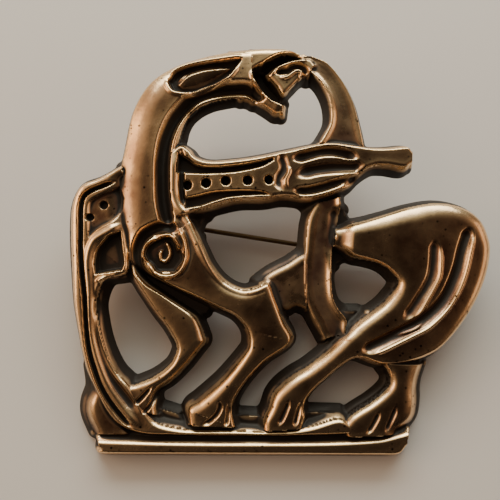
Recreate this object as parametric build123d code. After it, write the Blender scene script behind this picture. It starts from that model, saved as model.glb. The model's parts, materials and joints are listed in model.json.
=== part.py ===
"""Openwork animal brooch: one cast plate in relief, with a hinged wire pin behind it.

Lengths are in millimetres. The plate is drawn in its own plane: across to the right along the ground
bar, up the plate, and out of the face. It is then leaned back about the bar's lower edge, as it lies on
a table on the bar, the hinge lugs and the catch, so that +Z is up and the ground bar runs along X.
"""
from build123d import *
from collections import namedtuple
import math
import os
import numpy as np

# Driving dimensions of the casting
face_width = 59.0        # sixty parts of the chart, from the tail's outer edge to the rump
face_height = 56.6       # fifty-seven and a half parts, from the bar's lower edge to the brow
relief_height = 3.0      # the common height of the limbs above the back plane
draft_run = 1.0          # how far a cast wall leans out over the full height
edge_round = 0.5         # height over which a wall rounds into the top
seam_round = 0.5         # height over which crossing limbs blend
facet_size = 0.62        # side of a facet of the cast surface

# Driving dimensions of the pin, its hinge and its catch
lean_angle = 9.0         # how far the plate leans back when it lies on the table
pin_wire = 0.7           # diameter of the pin's wire
neck_wire = 1.1          # diameter of the pin's tapered neck where it leaves the eye
neck_length = 3.6        # from the rivet's axis to the thin end of the neck, past the feet of the lugs
pin_behind = 2.5         # from the plate's back to the pin's axis
eye_outer = 2.3          # diameter over the pin's eye
rivet_wire = 1.0         # diameter of the hinge rivet
running_gap = 0.05       # radial gap between the eye and the rivet
rivet_gap = 0.02         # radial gap between the rivet and the lugs' bores
side_gap = 0.1           # gap on each side of the eye
lug_thickness = 1.0      # each of the two hinge lugs
lug_width = 2.1          # a lug along the pin
rivet_head = 1.7         # diameter of the rivet's peened heads
rivet_head_height = 0.35
catch_length = 2.0       # along the pin
catch_wall = 0.9         # each prong of the forked catch
catch_gap = 0.06         # between the pin and the fork
tip_past_catch = 1.6     # how far the pin's point passes the catch
taper_start = 0.5        # the wire begins to taper this far before the catch

# Places of the hinge and the catch on the plate, in parts of the chart
HINGE_AT = (-16.8, 33.6)
CATCH_AT = (24.4, 28.0)

# One part of the chart, across and up
part_across = face_width / 60.0
part_up = face_height / 57.5

# A band is a limb, rim or strand: a strip between a left and a right edge, with a row for each section.
# height and hollow are shares of relief_height; a negative hollow is a crown, and a larger brim gives a
# flatter floor between narrower rims. An edge has run, a share of draft_run, then the width of its rolled
# shoulder in parts of the chart and the shoulder's drop as a share of relief_height.
# One number holds for every section; a tuple has one for each.
Edge = namedtuple("Edge", "run roll drop")
Band = namedtuple("Band", "height hollow brim left right sections")

# Columns of each section: left across, left up, right across, right up, in parts of the chart
BANDS = {
    "neck": Band(
        1.02, -0.05, 2,
        Edge((1.0, 0.9, 0.8, 0.8, 0.8, 0.8, 0.8, 0.8, 0.8, 0.8, 0.8),
             (1.0, 2.2, 2.9, 2.9, 2.9, 2.9, 2.7, 2.2, 1.7, 1.4, 1.4),
             (0.12, 0.26, 0.38, 0.40, 0.40, 0.40, 0.38, 0.34, 0.30, 0.26, 0.26)),
        Edge(0.75, 1.7, 0.17), [
            (-18.5, 29.0, -9.2, 30.4),
            (-19.2, 32.6, -10.4, 33.2),
            (-19.7, 36.0, -12.0, 36.0),
            (-19.8, 40.0, -12.0, 40.0),
            (-19.2, 44.0, -11.9, 43.6),
            (-18.3, 49.0, -11.0, 47.3),
            (-16.2, 53.0, -9.6, 49.2),
            (-12.9, 55.7, -7.5, 50.5),
            (-8.5, 57.35, -5.0, 51.2),
            (-4.1, 58.4, -3.0, 51.5),
            (-1.6, 58.6, -1.2, 51.1)]),
    "upper_jaw": Band(
        1.0, 0.0, 2, Edge(0.8, 1.4, 0.26), Edge(0.7, 0.4, 0.03), [
            (-4.6, 58.2, -3.0, 54.0),
            (-1.2, 58.8, -1.1, 55.7),
            (1.75, 59.0, 1.4, 57.1),
            (4.0, 58.9, 3.2, 58.0),
            (6.2, 58.1, 6.0, 57.8)]),
    "lower_jaw": Band(
        1.0, 0.03, 2, Edge(0.8, 0.4, 0.03), Edge(0.8, 1.3, 0.20), [
            (-2.5, 55.0, -3.0, 51.5),
            (-1.2, 54.6, -1.2, 51.1),
            (-0.3, 53.0, 0.3, 50.3),
            (0.9, 51.55, 1.2, 49.75),
            (2.3, 50.7, 2.1, 49.2),
            (3.2, 50.3, 3.1, 49.3)]),
    "breast_and_second_leg": Band(
        1.0, -0.03, 2,
        Edge(0.9, (1.0, 0.8, 0.6, 0.6, 0.6, 0.6, 0.6, 0.7, 0.8, 1.0, 1.5, 1.7, 1.7, 1.5, 1.0),
             (0.12, 0.12, 0.10, 0.08, 0.08, 0.08, 0.10, 0.12, 0.16, 0.22, 0.30, 0.33, 0.33, 0.25, 0.15)),
        Edge(1.0, (1.7, 1.7, 1.7, 1.6, 1.4, 1.2, 1.0, 0.9, 0.8, 0.6, 0.5, 0.5, 0.5, 0.5, 0.5),
             (0.20, 0.22, 0.24, 0.24, 0.20, 0.16, 0.12, 0.10, 0.10, 0.07, 0.05, 0.05, 0.05, 0.05, 0.05)), [
            (-19.2, 32.6, -10.1, 32.4),
            (-18.5, 29.0, -8.7, 29.6),
            (-17.7, 26.6, -7.0, 26.8),
            (-14.2, 24.65, -4.8, 24.6),
            (-9.6, 22.75, -2.25, 23.4),
            (-5.8, 21.0, 0.0, 23.8),
            (-3.1, 19.7, 1.5, 24.5),
            (-1.6, 17.9, 2.5, 22.2),
            (-1.3, 16.0, 3.7, 19.2),
            (-2.0, 14.6, 4.8, 16.3),
            (-4.7, 11.4, 1.3, 13.6),
            (-6.6, 9.6, -1.0, 11.2),
            (-8.2, 8.2, -2.6, 8.9),
            (-9.6, 6.9, -3.3, 6.9),
            (-9.4, 5.2, -2.9, 5.0)]),
    "first_leg": Band(
        0.83, -0.03, 2,
        Edge(0.9, (0.5, 0.5, 0.6, 0.7, 0.8, 0.8, 0.8, 0.7, 0.6, 0.6, 0.6, 0.6), 0.09),
        Edge(0.9, (0.4, 0.5, 0.5, 0.6, 0.9, 1.2, 0.9, 0.6, 0.5, 0.5, 0.5, 0.5),
             (0.05, 0.07, 0.08, 0.10, 0.16, 0.20, 0.13, 0.08, 0.06, 0.06, 0.06, 0.06)), [
            (-18.0, 26.6, -16.0, 26.9),
            (-17.5, 24.4, -13.4, 24.4),
            (-16.0, 22.2, -11.0, 22.0),
            (-14.4, 20.0, -9.1, 20.1),
            (-12.8, 18.0, -8.1, 18.6),
            (-11.8, 16.4, -7.3, 16.6),
            (-11.4, 14.7, -8.3, 14.2),
            (-12.2, 12.9, -10.0, 12.1),
            (-14.2, 11.3, -12.0, 10.3),
            (-16.4, 10.3, -13.7, 9.1),
            (-18.2, 9.6, -13.9, 7.4),
            (-18.0, 7.6, -13.7, 5.8)]),
    "tail": Band(
        0.97, (0.03, 0.05, 0.05, 0.05, 0.05, 0.05, 0.05, 0.10, 0.14, 0.16, 0.16, 0.15,
               0.12, 0.10, 0.05, 0, 0, 0, 0, 0, 0, 0, 0, 0), 2,
        Edge(0.8, (0.9, 0.9, 1.1, 1.3, 1.4, 1.4, 1.3, 1.2, 1.1, 1.0, 0.9, 0.8,
                   0.7, 0.7, 0.6, 0.6, 0.6, 0.6, 0.6, 0.6, 0.6, 0.6, 0.6, 0.6),
             (0.15, 0.16, 0.20, 0.24, 0.26, 0.26, 0.24, 0.22, 0.20, 0.17, 0.14, 0.12,
              0.08, 0.08, 0.08, 0.10, 0.10, 0.10, 0.10, 0.10, 0.10, 0.10, 0.10, 0.10)),
        Edge(1.1, 0.6, 0.08), [
            (-19.8, 40.9, -19.2, 38.5),
            (-22.85, 39.05, -19.2, 37.0),
            (-25.4, 37.9, -19.0, 35.5),
            (-26.6, 35.4, -18.9, 33.5),
            (-26.75, 32.0, -18.7, 31.0),
            (-26.5, 28.0, -18.3, 28.0),
            (-26.25, 25.5, -18.6, 25.5),
            (-26.0, 23.0, -21.4, 24.6),
            (-25.7, 20.8, -22.6, 21.6),
            (-25.1, 18.0, -22.3, 18.6),
            (-24.4, 15.0, -21.3, 15.1),
            (-23.5, 12.0, -19.7, 12.0),
            (-22.2, 9.5, -17.7, 10.0),
            (-20.6, 6.6, -16.5, 8.2),
            (-18.6, 4.6, -15.0, 6.2),
            (-15.5, 3.5, -13.6, 4.95),
            (-11.5, 3.35, -11.0, 4.3),
            (-8.0, 3.3, -8.0, 3.95),
            (-4.0, 3.3, -4.0, 4.05),
            (0.5, 3.3, 0.5, 3.8),
            (4.5, 3.3, 4.5, 4.1),
            (8.0, 3.4, 8.0, 4.7),
            (11.0, 3.5, 11.5, 5.7),
            (13.0, 3.6, 13.5, 5.0)]),
    "tail_spur": Band(
        0.73, 0.0, 2, Edge(1.2, 1.6, 0.27), Edge(0.8, 0.4, 0.03), [
            (-23.6, 12.4, -22.0, 10.6),
            (-23.2, 9.6, -21.4, 8.4),
            (-23.8, 7.4, -20.4, 6.3),
            (-23.7, 5.6, -18.8, 4.6),
            (-22.6, 3.2, -17.5, 3.3)]),
    "ground_bar": Band(
        0.93, 0.0, 2, Edge(1.1, 1.0, 0.16), Edge(1.0, 0.7, 0.15), [
            (-21.3, 1.5, -21.7, 2.8),
            (-20.6, 0.85, -19.5, 2.7),
            (-10.0, 0.8, -10.0, 2.5),
            (0.0, 0.8, 0.0, 2.5),
            (10.0, 0.8, 10.0, 2.6),
            (17.0, 0.8, 17.0, 3.0),
            (20.1, 0.9, 20.2, 3.7),
            (21.3, 2.0, 21.7, 4.1)]),
    "biting_head": Band(
        0.97, 0.02, 2, Edge(0.9, 0.5, 0.07),
        Edge((1.2, 1.2, 1.2, 1.2, 1.2, 1.2, 1.2, 1.2, 1.2, 1.2, 1.2, 1.2, 1.0, 1.0, 1.0, 0.9), 0.6, 0.08), [
            (-13.2, 43.4, -12.2, 32.8),
            (-11.1, 45.2, -11.2, 33.4),
            (-10.1, 43.7, -10.3, 34.0),
            (-9.2, 42.3, -8.9, 34.6),
            (-7.0, 41.8, -6.2, 35.5),
            (-3.0, 42.2, -3.0, 36.3),
            (0.5, 42.85, 0.5, 36.5),
            (4.0, 43.7, 3.5, 37.0),
            (7.6, 44.55, 7.5, 36.8),
            (10.3, 45.0, 10.3, 37.6),
            (13.0, 44.8, 12.6, 38.9),
            (15.5, 44.5, 14.2, 40.5),
            (17.0, 44.4, 16.4, 41.7),
            (19.0, 44.5, 18.4, 41.9),
            (21.4, 44.6, 20.8, 41.9),
            (22.3, 43.6, 22.1, 42.6)]),
    "flank": Band(
        0.77, 0.0, 2, Edge(1.2, 0.6, 0.07), Edge(1.0, 0.5, 0.07), [
            (0.0, 24.6, 2.2, 21.8),
            (2.0, 26.1, 3.4, 20.6),
            (4.4, 27.4, 4.4, 20.6),
            (6.4, 28.8, 5.6, 21.2),
            (7.6, 29.0, 7.6, 20.6)]),
    "arched_neck": Band(
        1.0, 0.20, 4, Edge(0.9, 0.9, 0.16), Edge(0.9, 0.5, 0.05), [
            (5.2, 57.4, 4.8, 56.6),
            (6.8, 58.1, 6.6, 55.9),
            (8.1, 57.85, 7.6, 55.2),
            (9.9, 57.0, 8.9, 53.9),
            (12.1, 54.3, 9.9, 52.0),
            (13.6, 51.3, 10.35, 50.0),
            (14.4, 48.5, 10.25, 48.1),
            (14.9, 46.4, 9.5, 46.5),
            (15.3, 44.6, 8.6, 45.0)]),
    "curl": Band(
        0.97, 0.03, 2, Edge(0.9, 0.4, 0.05), Edge(0.45, 0.4, 0.05), [
            (0.85, 54.75, 1.1, 54.4),
            (1.75, 55.65, 2.2, 53.2),
            (2.7, 56.35, 3.2, 52.0),
            (4.7, 57.05, 4.4, 53.0),
            (6.9, 57.4, 5.5, 54.2),
            (7.8, 56.6, 6.8, 55.0)]),
    "upright": Band(
        1.0, 0.18, 4, Edge(1.1, 0.7, 0.12), Edge(1.8, 0.9, 0.08), [
            (8.5, 36.3, 11.6, 37.2),
            (7.8, 35.2, 11.5, 35.5),
            (7.2, 33.4, 11.1, 33.2),
            (6.9, 30.0, 10.3, 30.5),
            (6.75, 27.0, 10.0, 27.5),
            (6.8, 24.0, 9.95, 25.0),
            (7.1, 22.0, 10.4, 22.2),
            (7.9, 20.0, 11.5, 20.4),
            (8.9, 18.2, 12.6, 19.2),
            (9.8, 16.6, 12.4, 17.4)]),
    "haunch": Band(
        1.07, -0.02, 2,
        Edge((1.3, 1.4, 1.5, 1.5, 1.4, 1.3, 1.1, 1.0, 1.0, 1.0, 1.0, 1.0, 1.0, 1.0, 1.0, 1.0, 1.0),
             (1.6, 2.2, 2.8, 3.0, 3.0, 2.8, 2.4, 2.0, 1.8, 1.6, 1.4, 1.2, 1.0, 0.8, 0.8, 0.8, 0.8),
             (0.20, 0.30, 0.38, 0.40, 0.38, 0.36, 0.32, 0.28, 0.26, 0.22, 0.20, 0.18, 0.16, 0.13, 0.10, 0.08, 0.08)),
        Edge(0.9, (1.3, 1.3, 1.1, 0.9, 0.9, 1.0, 1.2, 1.5, 1.6, 1.6, 1.6, 1.6, 1.6, 1.4, 1.0, 0.8, 0.8),
             (0.24, 0.22, 0.15, 0.12, 0.12, 0.15, 0.22, 0.28, 0.30, 0.30, 0.30, 0.30, 0.30, 0.25, 0.15, 0.1, 0.1)), [
            (13.1, 33.2, 12.3, 29.0),
            (15.5, 33.5, 13.8, 28.0),
            (18.5, 34.4, 15.7, 28.0),
            (22.0, 35.5, 17.5, 27.5),
            (26.0, 36.2, 19.0, 26.6),
            (29.7, 35.9, 20.1, 25.3),
            (32.2, 34.1, 20.0, 24.3),
            (33.4, 31.3, 19.2, 23.2),
            (33.4, 29.3, 18.0, 21.9),
            (32.7, 26.3, 16.0, 20.4),
            (31.4, 23.3, 14.0, 18.9),
            (29.6, 20.3, 12.0, 17.1),
            (27.4, 17.5, 9.8, 14.9),
            (25.1, 15.1, 11.2, 16.0),
            (21.5, 13.6, 12.0, 15.6),
            (17.8, 13.3, 12.6, 15.2),
            (14.8, 14.2, 13.0, 14.9)]),
    "third_leg": Band(
        1.0, -0.02, 2,
        Edge(1.0, (1.6, 1.6, 1.7, 1.8, 1.8, 1.6, 1.3, 1.0, 0.8),
             (0.30, 0.30, 0.32, 0.33, 0.33, 0.30, 0.24, 0.18, 0.12)),
        Edge(0.8, 0.6, 0.07), [
            (12.0, 17.1, 15.5, 14.6),
            (9.8, 14.9, 14.0, 14.1),
            (7.3, 12.9, 12.0, 13.0),
            (5.3, 11.7, 10.0, 11.3),
            (3.5, 10.3, 8.2, 9.7),
            (2.3, 8.8, 7.1, 8.2),
            (1.7, 7.0, 6.8, 7.0),
            (1.1, 5.5, 7.0, 6.0),
            (1.2, 4.0, 6.5, 4.4)]),
    "fourth_leg": Band(
        0.97, 0.0, 2, Edge(0.9, 0.8, 0.12), Edge(1.0, 2.6, 0.45), [
            (17.8, 13.4, 24.3, 13.4),
            (18.9, 11.9, 23.6, 11.4),
            (19.0, 10.4, 23.3, 9.8),
            (17.9, 9.1, 23.3, 8.4),
            (16.2, 7.8, 23.2, 7.0),
            (14.4, 6.7, 22.9, 5.8),
            (13.0, 5.6, 22.2, 4.8),
            (12.3, 4.2, 21.2, 4.0),
            (12.8, 3.2, 20.5, 3.6)]),
}

# Low floors that close the recesses between the limbs: height as a share, then the same four columns
FLOORS = {
    "behind_upright": (0.43, [(10.0, 36.5, 12.6, 35.6), (9.8, 33.0, 13.5, 33.0), (9.5, 28.2, 12.9, 28.6),
                              (9.3, 26.6, 11.3, 27.3)]),
    "under_hock": (0.43, [(11.6, 21.4, 15.2, 21.4), (12.0, 19.6, 14.4, 19.6)]),
    "inside_neck": (0.40, [(-13.8, 44.6, -10.0, 42.6), (-12.0, 34.0, -7.6, 34.2)]),
    "mouth": (0.40, [(-2.0, 56.5, 3.0, 58.4), (-0.8, 54.0, 6.4, 57.8), (0.8, 51.8, 4.0, 53.6),
                     (3.0, 50.6, 3.4, 51.4)]),
    "above_bar": (0.47, [(-21.6, 4.2, -21.6, 2.4), (-10.0, 3.8, -10.0, 2.2), (5.0, 3.8, 5.0, 2.2),
                         (20.5, 4.2, 20.5, 3.0)]),
    "shoulder": (0.47, [(-18.0, 27.0, -14.0, 25.4), (-13.0, 21.5, -7.4, 21.4), (-9.2, 19.8, -7.4, 20.2)]),
    "hind_ankle": (0.53, [(17.6, 13.6, 24.4, 15.2), (18.5, 12.4, 23.4, 12.6)]),
    "under_biting_head": (0.47, [(5.6, 38.0, 5.6, 35.6), (8.0, 37.4, 8.0, 35.0), (11.8, 38.4, 11.8, 36.0)]),
    "beside_neck": (0.47, [(-20.2, 41.0, -19.0, 41.0), (-20.0, 25.4, -17.6, 25.4)]),
    "breast_corner": (0.43, [(-9.6, 34.8, -7.2, 35.4), (-9.6, 32.4, -8.1, 33.0), (-9.4, 30.6, -8.6, 31.0)]),
    "first_toes": (0.43, [(-14.0, 6.8, -10.8, 5.8), (-14.0, 4.5, -9.0, 4.2)]),
    "second_toes": (0.43, [(-3.4, 5.8, 1.4, 5.6), (-3.4, 4.0, 1.4, 4.0)]),
    "third_toes": (0.43, [(7.0, 6.3, 12.2, 6.2), (7.0, 4.4, 12.4, 4.4)]),
}

# Beds sunk below the face: depth as a share, then the same four columns
BEDS = {
    "tail_panel": (0.10, [(-20.0, 38.0, -19.2, 36.0), (-22.4, 36.9, -19.4, 34.4), (-24.2, 35.6, -20.4, 32.8),
                          (-24.4, 33.0, -22.4, 31.6), (-24.2, 30.6, -23.9, 30.2)]),
    "side_panel": (0.20, [(-21.4, 30.8, -19.4, 31.6), (-22.8, 29.0, -19.0, 29.0), (-23.2, 27.0, -18.7, 27.0),
                          (-23.0, 25.2, -19.0, 25.9)]),
    "spiral": (0.13, [(-14.8, 31.0, -12.2, 31.0), (-16.2, 29.2, -11.0, 29.4), (-16.0, 27.4, -10.5, 27.6),
                      (-14.6, 25.7, -11.6, 25.8)]),
    "curl_hollow": (0.14, [(2.0, 55.2, 3.0, 54.0), (3.2, 56.2, 3.9, 53.3), (4.8, 56.7, 4.9, 53.4),
                           (6.2, 56.6, 5.8, 54.6)]),
}

# Channels cut in (negative) and seams raised (positive): half width in parts of the chart, height as a
# share of relief_height, then the points that the line follows, across and up
LINES = {
    "neck_channel": (1.00, -0.52, [(-12.4, 31.9), (-13.2, 33.6), (-13.75, 36.0), (-13.95, 39.0),
                                   (-13.95, 42.0), (-13.5, 45.0), (-12.5, 47.6), (-11.0, 49.7),
                                   (-9.2, 51.2), (-6.8, 52.1), (-4.4, 52.5), (-2.2, 52.6),
                                   (-0.6, 51.9), (0.6, 50.9)]),
    "mouth_cleft": (0.60, -0.55, [(0.0, 55.6), (1.2, 56.5), (2.6, 57.3), (4.4, 57.8), (6.3, 57.9)]),
    "mouth": (0.85, -0.57, [(-0.5, 55.6), (-0.2, 54.4), (0.6, 53.0), (1.7, 51.8), (2.9, 51.0)]),
    "upper_channel": (0.85, -0.36, [(-11.2, 40.9), (-9.0, 40.7), (-6.0, 40.85), (-3.0, 41.15),
                                    (-0.8, 41.7), (1.0, 42.4)]),
    "lower_channel": (0.80, -0.33, [(-10.4, 35.2), (-8.6, 35.9), (-6.6, 36.5), (-4.4, 36.9),
                                    (-1.8, 37.15), (0.4, 37.05), (1.9, 36.9)]),
    "head_step": (0.45, -0.30, [(-11.2, 43.6), (-11.2, 41.4), (-11.15, 38.8), (-11.0, 36.6), (-10.6, 35.0)]),
    "brow_left": (0.60, -0.30, [(2.6, 43.2), (3.2, 42.2), (3.4, 40.9), (2.6, 39.2), (3.3, 37.6)]),
    "brow_upper": (0.75, -0.33, [(4.4, 42.4), (6.3, 42.9), (8.6, 43.6), (10.6, 43.75), (12.6, 43.4),
                                 (14.4, 42.8)]),
    "brow_middle": (0.95, -0.30, [(4.9, 39.9), (7.5, 40.9), (10.5, 41.4), (13.5, 41.5), (15.4, 41.4)]),
    "brow_lower": (0.65, -0.33, [(4.6, 37.9), (6.5, 37.8), (8.8, 38.3), (11.0, 39.0), (13.0, 39.7),
                                 (14.6, 40.4)]),
    "tail_groove": (0.36, -0.27, [(-20.3, 38.6), (-22.3, 37.8), (-24.0, 37.0), (-24.9, 36.1),
                                  (-25.2, 34.4), (-25.1, 31.5), (-25.0, 28.5), (-24.7, 25.5),
                                  (-24.2, 22.0), (-23.9, 18.5), (-23.4, 15.0), (-22.6, 12.4),
                                  (-21.6, 10.0), (-20.3, 7.9), (-18.6, 5.9), (-16.8, 4.1)]),
    "tail_inner_groove": (0.40, -0.20, [(-22.9, 23.6), (-22.8, 20.5), (-22.5, 17.6), (-21.7, 14.8),
                                        (-20.7, 12.4), (-19.3, 10.0), (-17.6, 8.0), (-16.2, 6.4)]),
    "spiral_outer": (0.75, -0.37, [(-12.2, 32.3), (-14.2, 32.2), (-16.2, 31.2), (-17.3, 29.6),
                                   (-17.6, 27.8), (-17.2, 26.4), (-16.2, 25.3)]),
    "haunch_outer_groove": (0.90, -0.37, [(30.6, 32.7), (29.9, 31.0), (29.4, 29.3), (28.8, 27.3),
                                          (28.0, 25.0), (26.9, 22.8), (25.2, 20.8), (22.8, 19.0),
                                          (20.0, 17.6), (17.0, 16.0), (14.6, 14.8)]),
    "haunch_inner_groove": (0.80, -0.30, [(25.3, 30.2), (25.2, 28.4), (25.2, 26.8), (24.8, 25.2),
                                          (23.8, 23.3), (22.6, 21.4), (21.0, 19.8)]),
    "second_toe_outer": (0.40, -0.16, [(-5.2, 8.4), (-5.0, 7.4), (-5.4, 6.4), (-6.4, 5.4), (-7.6, 4.8)]),
    "second_toe_inner": (0.35, -0.16, [(-3.9, 8.2), (-3.8, 6.8), (-4.0, 5.4), (-4.3, 4.6)]),
    "third_toe_outer": (0.40, -0.16, [(4.6, 8.6), (4.2, 7.2), (3.6, 5.8), (3.0, 4.8)]),
    "third_toe_inner": (0.40, -0.16, [(6.3, 8.4), (6.0, 7.0), (5.6, 5.6), (5.4, 4.6)]),
    "fourth_toe_outer": (0.40, -0.16, [(17.4, 7.0), (16.9, 5.8), (16.2, 4.6), (15.4, 3.6)]),
    "fourth_toe_inner": (0.40, -0.16, [(19.8, 7.8), (19.3, 6.4), (18.7, 5.0), (18.2, 3.9)]),
    "first_toe_outer": (0.35, -0.14, [(-14.4, 10.2), (-15.3, 9.0), (-16.2, 8.0), (-17.0, 7.4)]),
    "first_toe_inner": (0.35, -0.14, [(-13.7, 9.4), (-14.3, 8.0), (-15.0, 6.9), (-15.8, 6.2)]),
    "breast_seam": (0.90, 0.15, [(-12.4, 43.6), (-12.35, 40.0), (-12.3, 37.0), (-11.7, 35.2),
                                 (-10.8, 33.8), (-10.0, 32.2), (-9.3, 30.5), (-8.2, 28.5), (-6.9, 26.7),
                                 (-5.6, 25.3), (-4.2, 24.3), (-2.6, 23.7), (-1.2, 23.6), (0.2, 24.0),
                                 (1.4, 24.6)]),
    "tail_seam": (0.60, 0.12, [(-19.3, 32.6), (-21.1, 31.4), (-22.1, 30.8), (-23.0, 30.1),
                               (-23.5, 29.2), (-23.8, 28.0), (-23.85, 26.5), (-23.65, 24.0),
                               (-23.4, 20.5), (-23.15, 17.5), (-22.6, 15.0), (-21.9, 12.9),
                               (-20.8, 10.4), (-19.3, 8.2), (-17.6, 6.2), (-15.6, 4.4)]),
    "panel_edge": (0.40, 0.06, [(-20.0, 38.0), (-22.1, 37.1), (-23.6, 36.4), (-24.4, 35.5),
                                (-24.7, 34.2), (-24.6, 32.6), (-24.5, 30.6), (-24.5, 28.0)]),
    "panel_foot": (0.40, 0.10, [(-22.9, 24.3), (-21.8, 24.6), (-20.4, 25.0), (-19.2, 25.3)]),
    "spiral_outer_turn": (0.33, 0.16, [(-11.4, 32.0), (-10.75, 31.0), (-10.35, 29.9), (-10.1, 28.3),
                                       (-10.4, 26.9), (-11.0, 25.9), (-12.0, 25.3), (-13.3, 25.2),
                                       (-14.1, 25.5), (-14.8, 26.3), (-15.4, 27.4)]),
    "spiral_second_turn": (0.33, 0.16, [(-15.4, 27.2), (-16.2, 27.9), (-16.1, 28.8), (-15.6, 29.6),
                                        (-14.7, 30.3), (-13.5, 30.75), (-12.5, 30.8), (-11.9, 30.3),
                                        (-11.5, 29.4), (-11.3, 28.4)]),
    "spiral_drop": (0.33, 0.16, [(-13.4, 30.0), (-12.8, 29.5), (-12.5, 28.4), (-13.0, 27.4),
                                 (-13.7, 27.6), (-13.9, 28.4), (-13.5, 29.0)]),
    "curl_rim": (0.30, 0.08, [(1.2, 54.4), (1.8, 55.2), (2.8, 56.0), (4.0, 56.6), (5.4, 56.9), (6.8, 57.0)]),
    "curl_turn": (0.30, 0.14, [(2.5, 54.3), (3.6, 54.3), (4.4, 54.9), (5.1, 55.3), (5.7, 55.0),
                               (5.7, 54.2), (5.2, 53.3), (4.4, 52.5)]),
    "jaw_seam": (0.35, 0.07, [(-1.5, 55.3), (-1.5, 54.2), (-0.8, 53.2), (0.1, 52.2), (1.0, 51.3), (2.2, 50.6)]),
    "eye_upper_rim": (0.30, 0.06, [(-13.6, 54.0), (-12.6, 55.1), (-11.0, 55.85), (-9.0, 56.35),
                                   (-6.75, 56.7), (-4.2, 57.1), (-2.6, 57.2)]),
    "eye_lower_rim": (0.35, 0.09, [(-13.8, 53.4), (-13.6, 52.4), (-12.9, 51.5), (-11.5, 51.2),
                                   (-10.0, 51.25), (-8.0, 52.0), (-6.4, 52.8), (-4.9, 53.7),
                                   (-3.9, 54.8), (-3.2, 55.9)]),
    "brow_spine": (0.35, 0.07, [(3.7, 41.6), (4.2, 40.6), (3.7, 39.2), (4.1, 37.9)]),
}

# Round pits drilled with a punch: across, up, radius in parts, depth as a share of relief_height
PITS = [
    (-22.2, 35.1, 0.75, 0.33),
    (-23.9, 33.3, 0.60, 0.30),
    (-10.4, 38.2, 0.70, 0.40),
    (-7.7, 38.6, 0.70, 0.40),
    (-4.9, 39.0, 0.70, 0.40),
    (-1.75, 39.15, 0.70, 0.40),
    (1.3, 39.3, 0.68, 0.40),
]

# The almond eye, sunk below the head, and the lens that stands in it: the four columns of a band
EYE_DEPTH = 0.37
EYE = [
    (-13.5, 53.6, -13.6, 52.9), (-12.6, 55.0, -12.7, 51.6), (-10.5, 55.9, -10.2, 51.4),
    (-8.2, 56.35, -8.0, 52.2), (-5.8, 56.7, -6.0, 53.1), (-3.8, 57.0, -4.4, 54.3),
    (-2.8, 57.0, -3.2, 56.0)]
LENS_RISE = 0.27
LENS = [
    (-12.1, 53.3, -12.0, 53.0), (-10.6, 54.5, -10.8, 52.4), (-8.8, 55.15, -8.6, 53.0),
    (-7.0, 55.5, -6.6, 54.2), (-5.4, 55.65, -5.3, 55.3)]

FLOOR_EDGE = Edge(0.45, 0.2, 0.02)
SOLE_SHARE = 0.23        # no channel goes deeper than this share of relief_height above the back
CURVE_STEPS = 4          # straight pieces of an edge between two rows of a table


def to_plate(points):
    """Points of the chart in millimetres on the plate."""
    return np.asarray(points, float) * (part_across, part_up)


def smooth(points):
    """A smooth line through the points: on each stretch the cubic whose slopes join its neighbours."""
    p = to_plate(points)
    if len(p) < 3:
        share = np.linspace(0, 1, CURVE_STEPS + 1)[:, None]
        return p[0] * (1 - share) + p[-1] * share
    ends = np.vstack([2 * p[0] - p[1], p, 2 * p[-1] - p[-2]])
    a, b, c, d = ends[:-3], ends[1:-2], ends[2:-1], ends[3:]
    t = (np.arange(CURVE_STEPS) / CURVE_STEPS)[:, None, None]
    cubic = 0.5 * (2 * b + (c - a) * t + (2 * a - 5 * b + 4 * c - d) * t**2 + (3 * b - a - 3 * c + d) * t**3)
    return np.vstack([cubic.transpose(1, 0, 2).reshape(-1, 2), p[-1]])


def distance(x, y, line):
    """Distance from each point to a line of straight pieces, and the row of its table nearest there."""
    lengths = np.hypot(*np.diff(line, axis=0).T)
    nearest = np.full(x.shape, np.inf)
    row = np.zeros(x.shape)
    for k in np.flatnonzero(lengths > 0):
        (ax, ay), (bx, by) = line[k], line[k + 1]
        t = np.clip(((x - ax) * (bx - ax) + (y - ay) * (by - ay)) / lengths[k]**2, 0, 1)
        gap = np.hypot(x - ax - t * (bx - ax), y - ay - t * (by - ay))
        closer = gap < nearest
        nearest = np.where(closer, gap, nearest)
        row = np.where(closer, (k + t) / CURVE_STEPS, row)
    return nearest, row


def within(x, y, outline):
    """True where a point lies inside a closed outline, by counting the sides that it crosses."""
    result = np.zeros(x.shape, bool)
    for (ax, ay), (bx, by) in zip(np.roll(outline, 1, axis=0), outline):
        if ay != by:
            crossed = ((by > y) != (ay > y)) & (x < (ax - bx) * (y - by) / (ay - by) + bx)
            result ^= crossed
    return result


def round_min(a, b, size):
    """The lower of two heights, with their corner rounded over size."""
    return np.minimum(a, b) - np.maximum(size - np.abs(a - b), 0)**2 / (4 * size)


def round_max(a, b, size):
    """The higher of two heights, with their corner filled over size."""
    return np.maximum(a, b) + np.maximum(size - np.abs(a - b), 0)**2 / (4 * size)


def near(x, y, line, reach):
    """True for the points inside the box round a line, made larger by reach on every side."""
    low, high = line.min(axis=0) - reach, line.max(axis=0) + reach
    return (x > low[0]) & (x < high[0]) & (y > low[1]) & (y < high[1])


def at_row(value, row):
    """A size of a band at a row of its table, between whole rows in proportion."""
    values = np.atleast_1d(np.asarray(value, float))
    return values[0] if len(values) == 1 else np.interp(row, np.arange(len(values)), values)


def strip(x, y, sections):
    """For each point: whether it is in the strip, its distance and row at the left and right edges."""
    rows = np.asarray(sections, float)
    left, right = smooth(rows[:, :2]), smooth(rows[:, 2:])
    inside = within(x, y, np.vstack([left, right[::-1]]))
    ends = np.minimum(distance(x, y, np.vstack([left[0], right[0]]))[0],
                      distance(x, y, np.vstack([left[-1], right[-1]]))[0])
    return inside, distance(x, y, left), distance(x, y, right), ends


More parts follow.
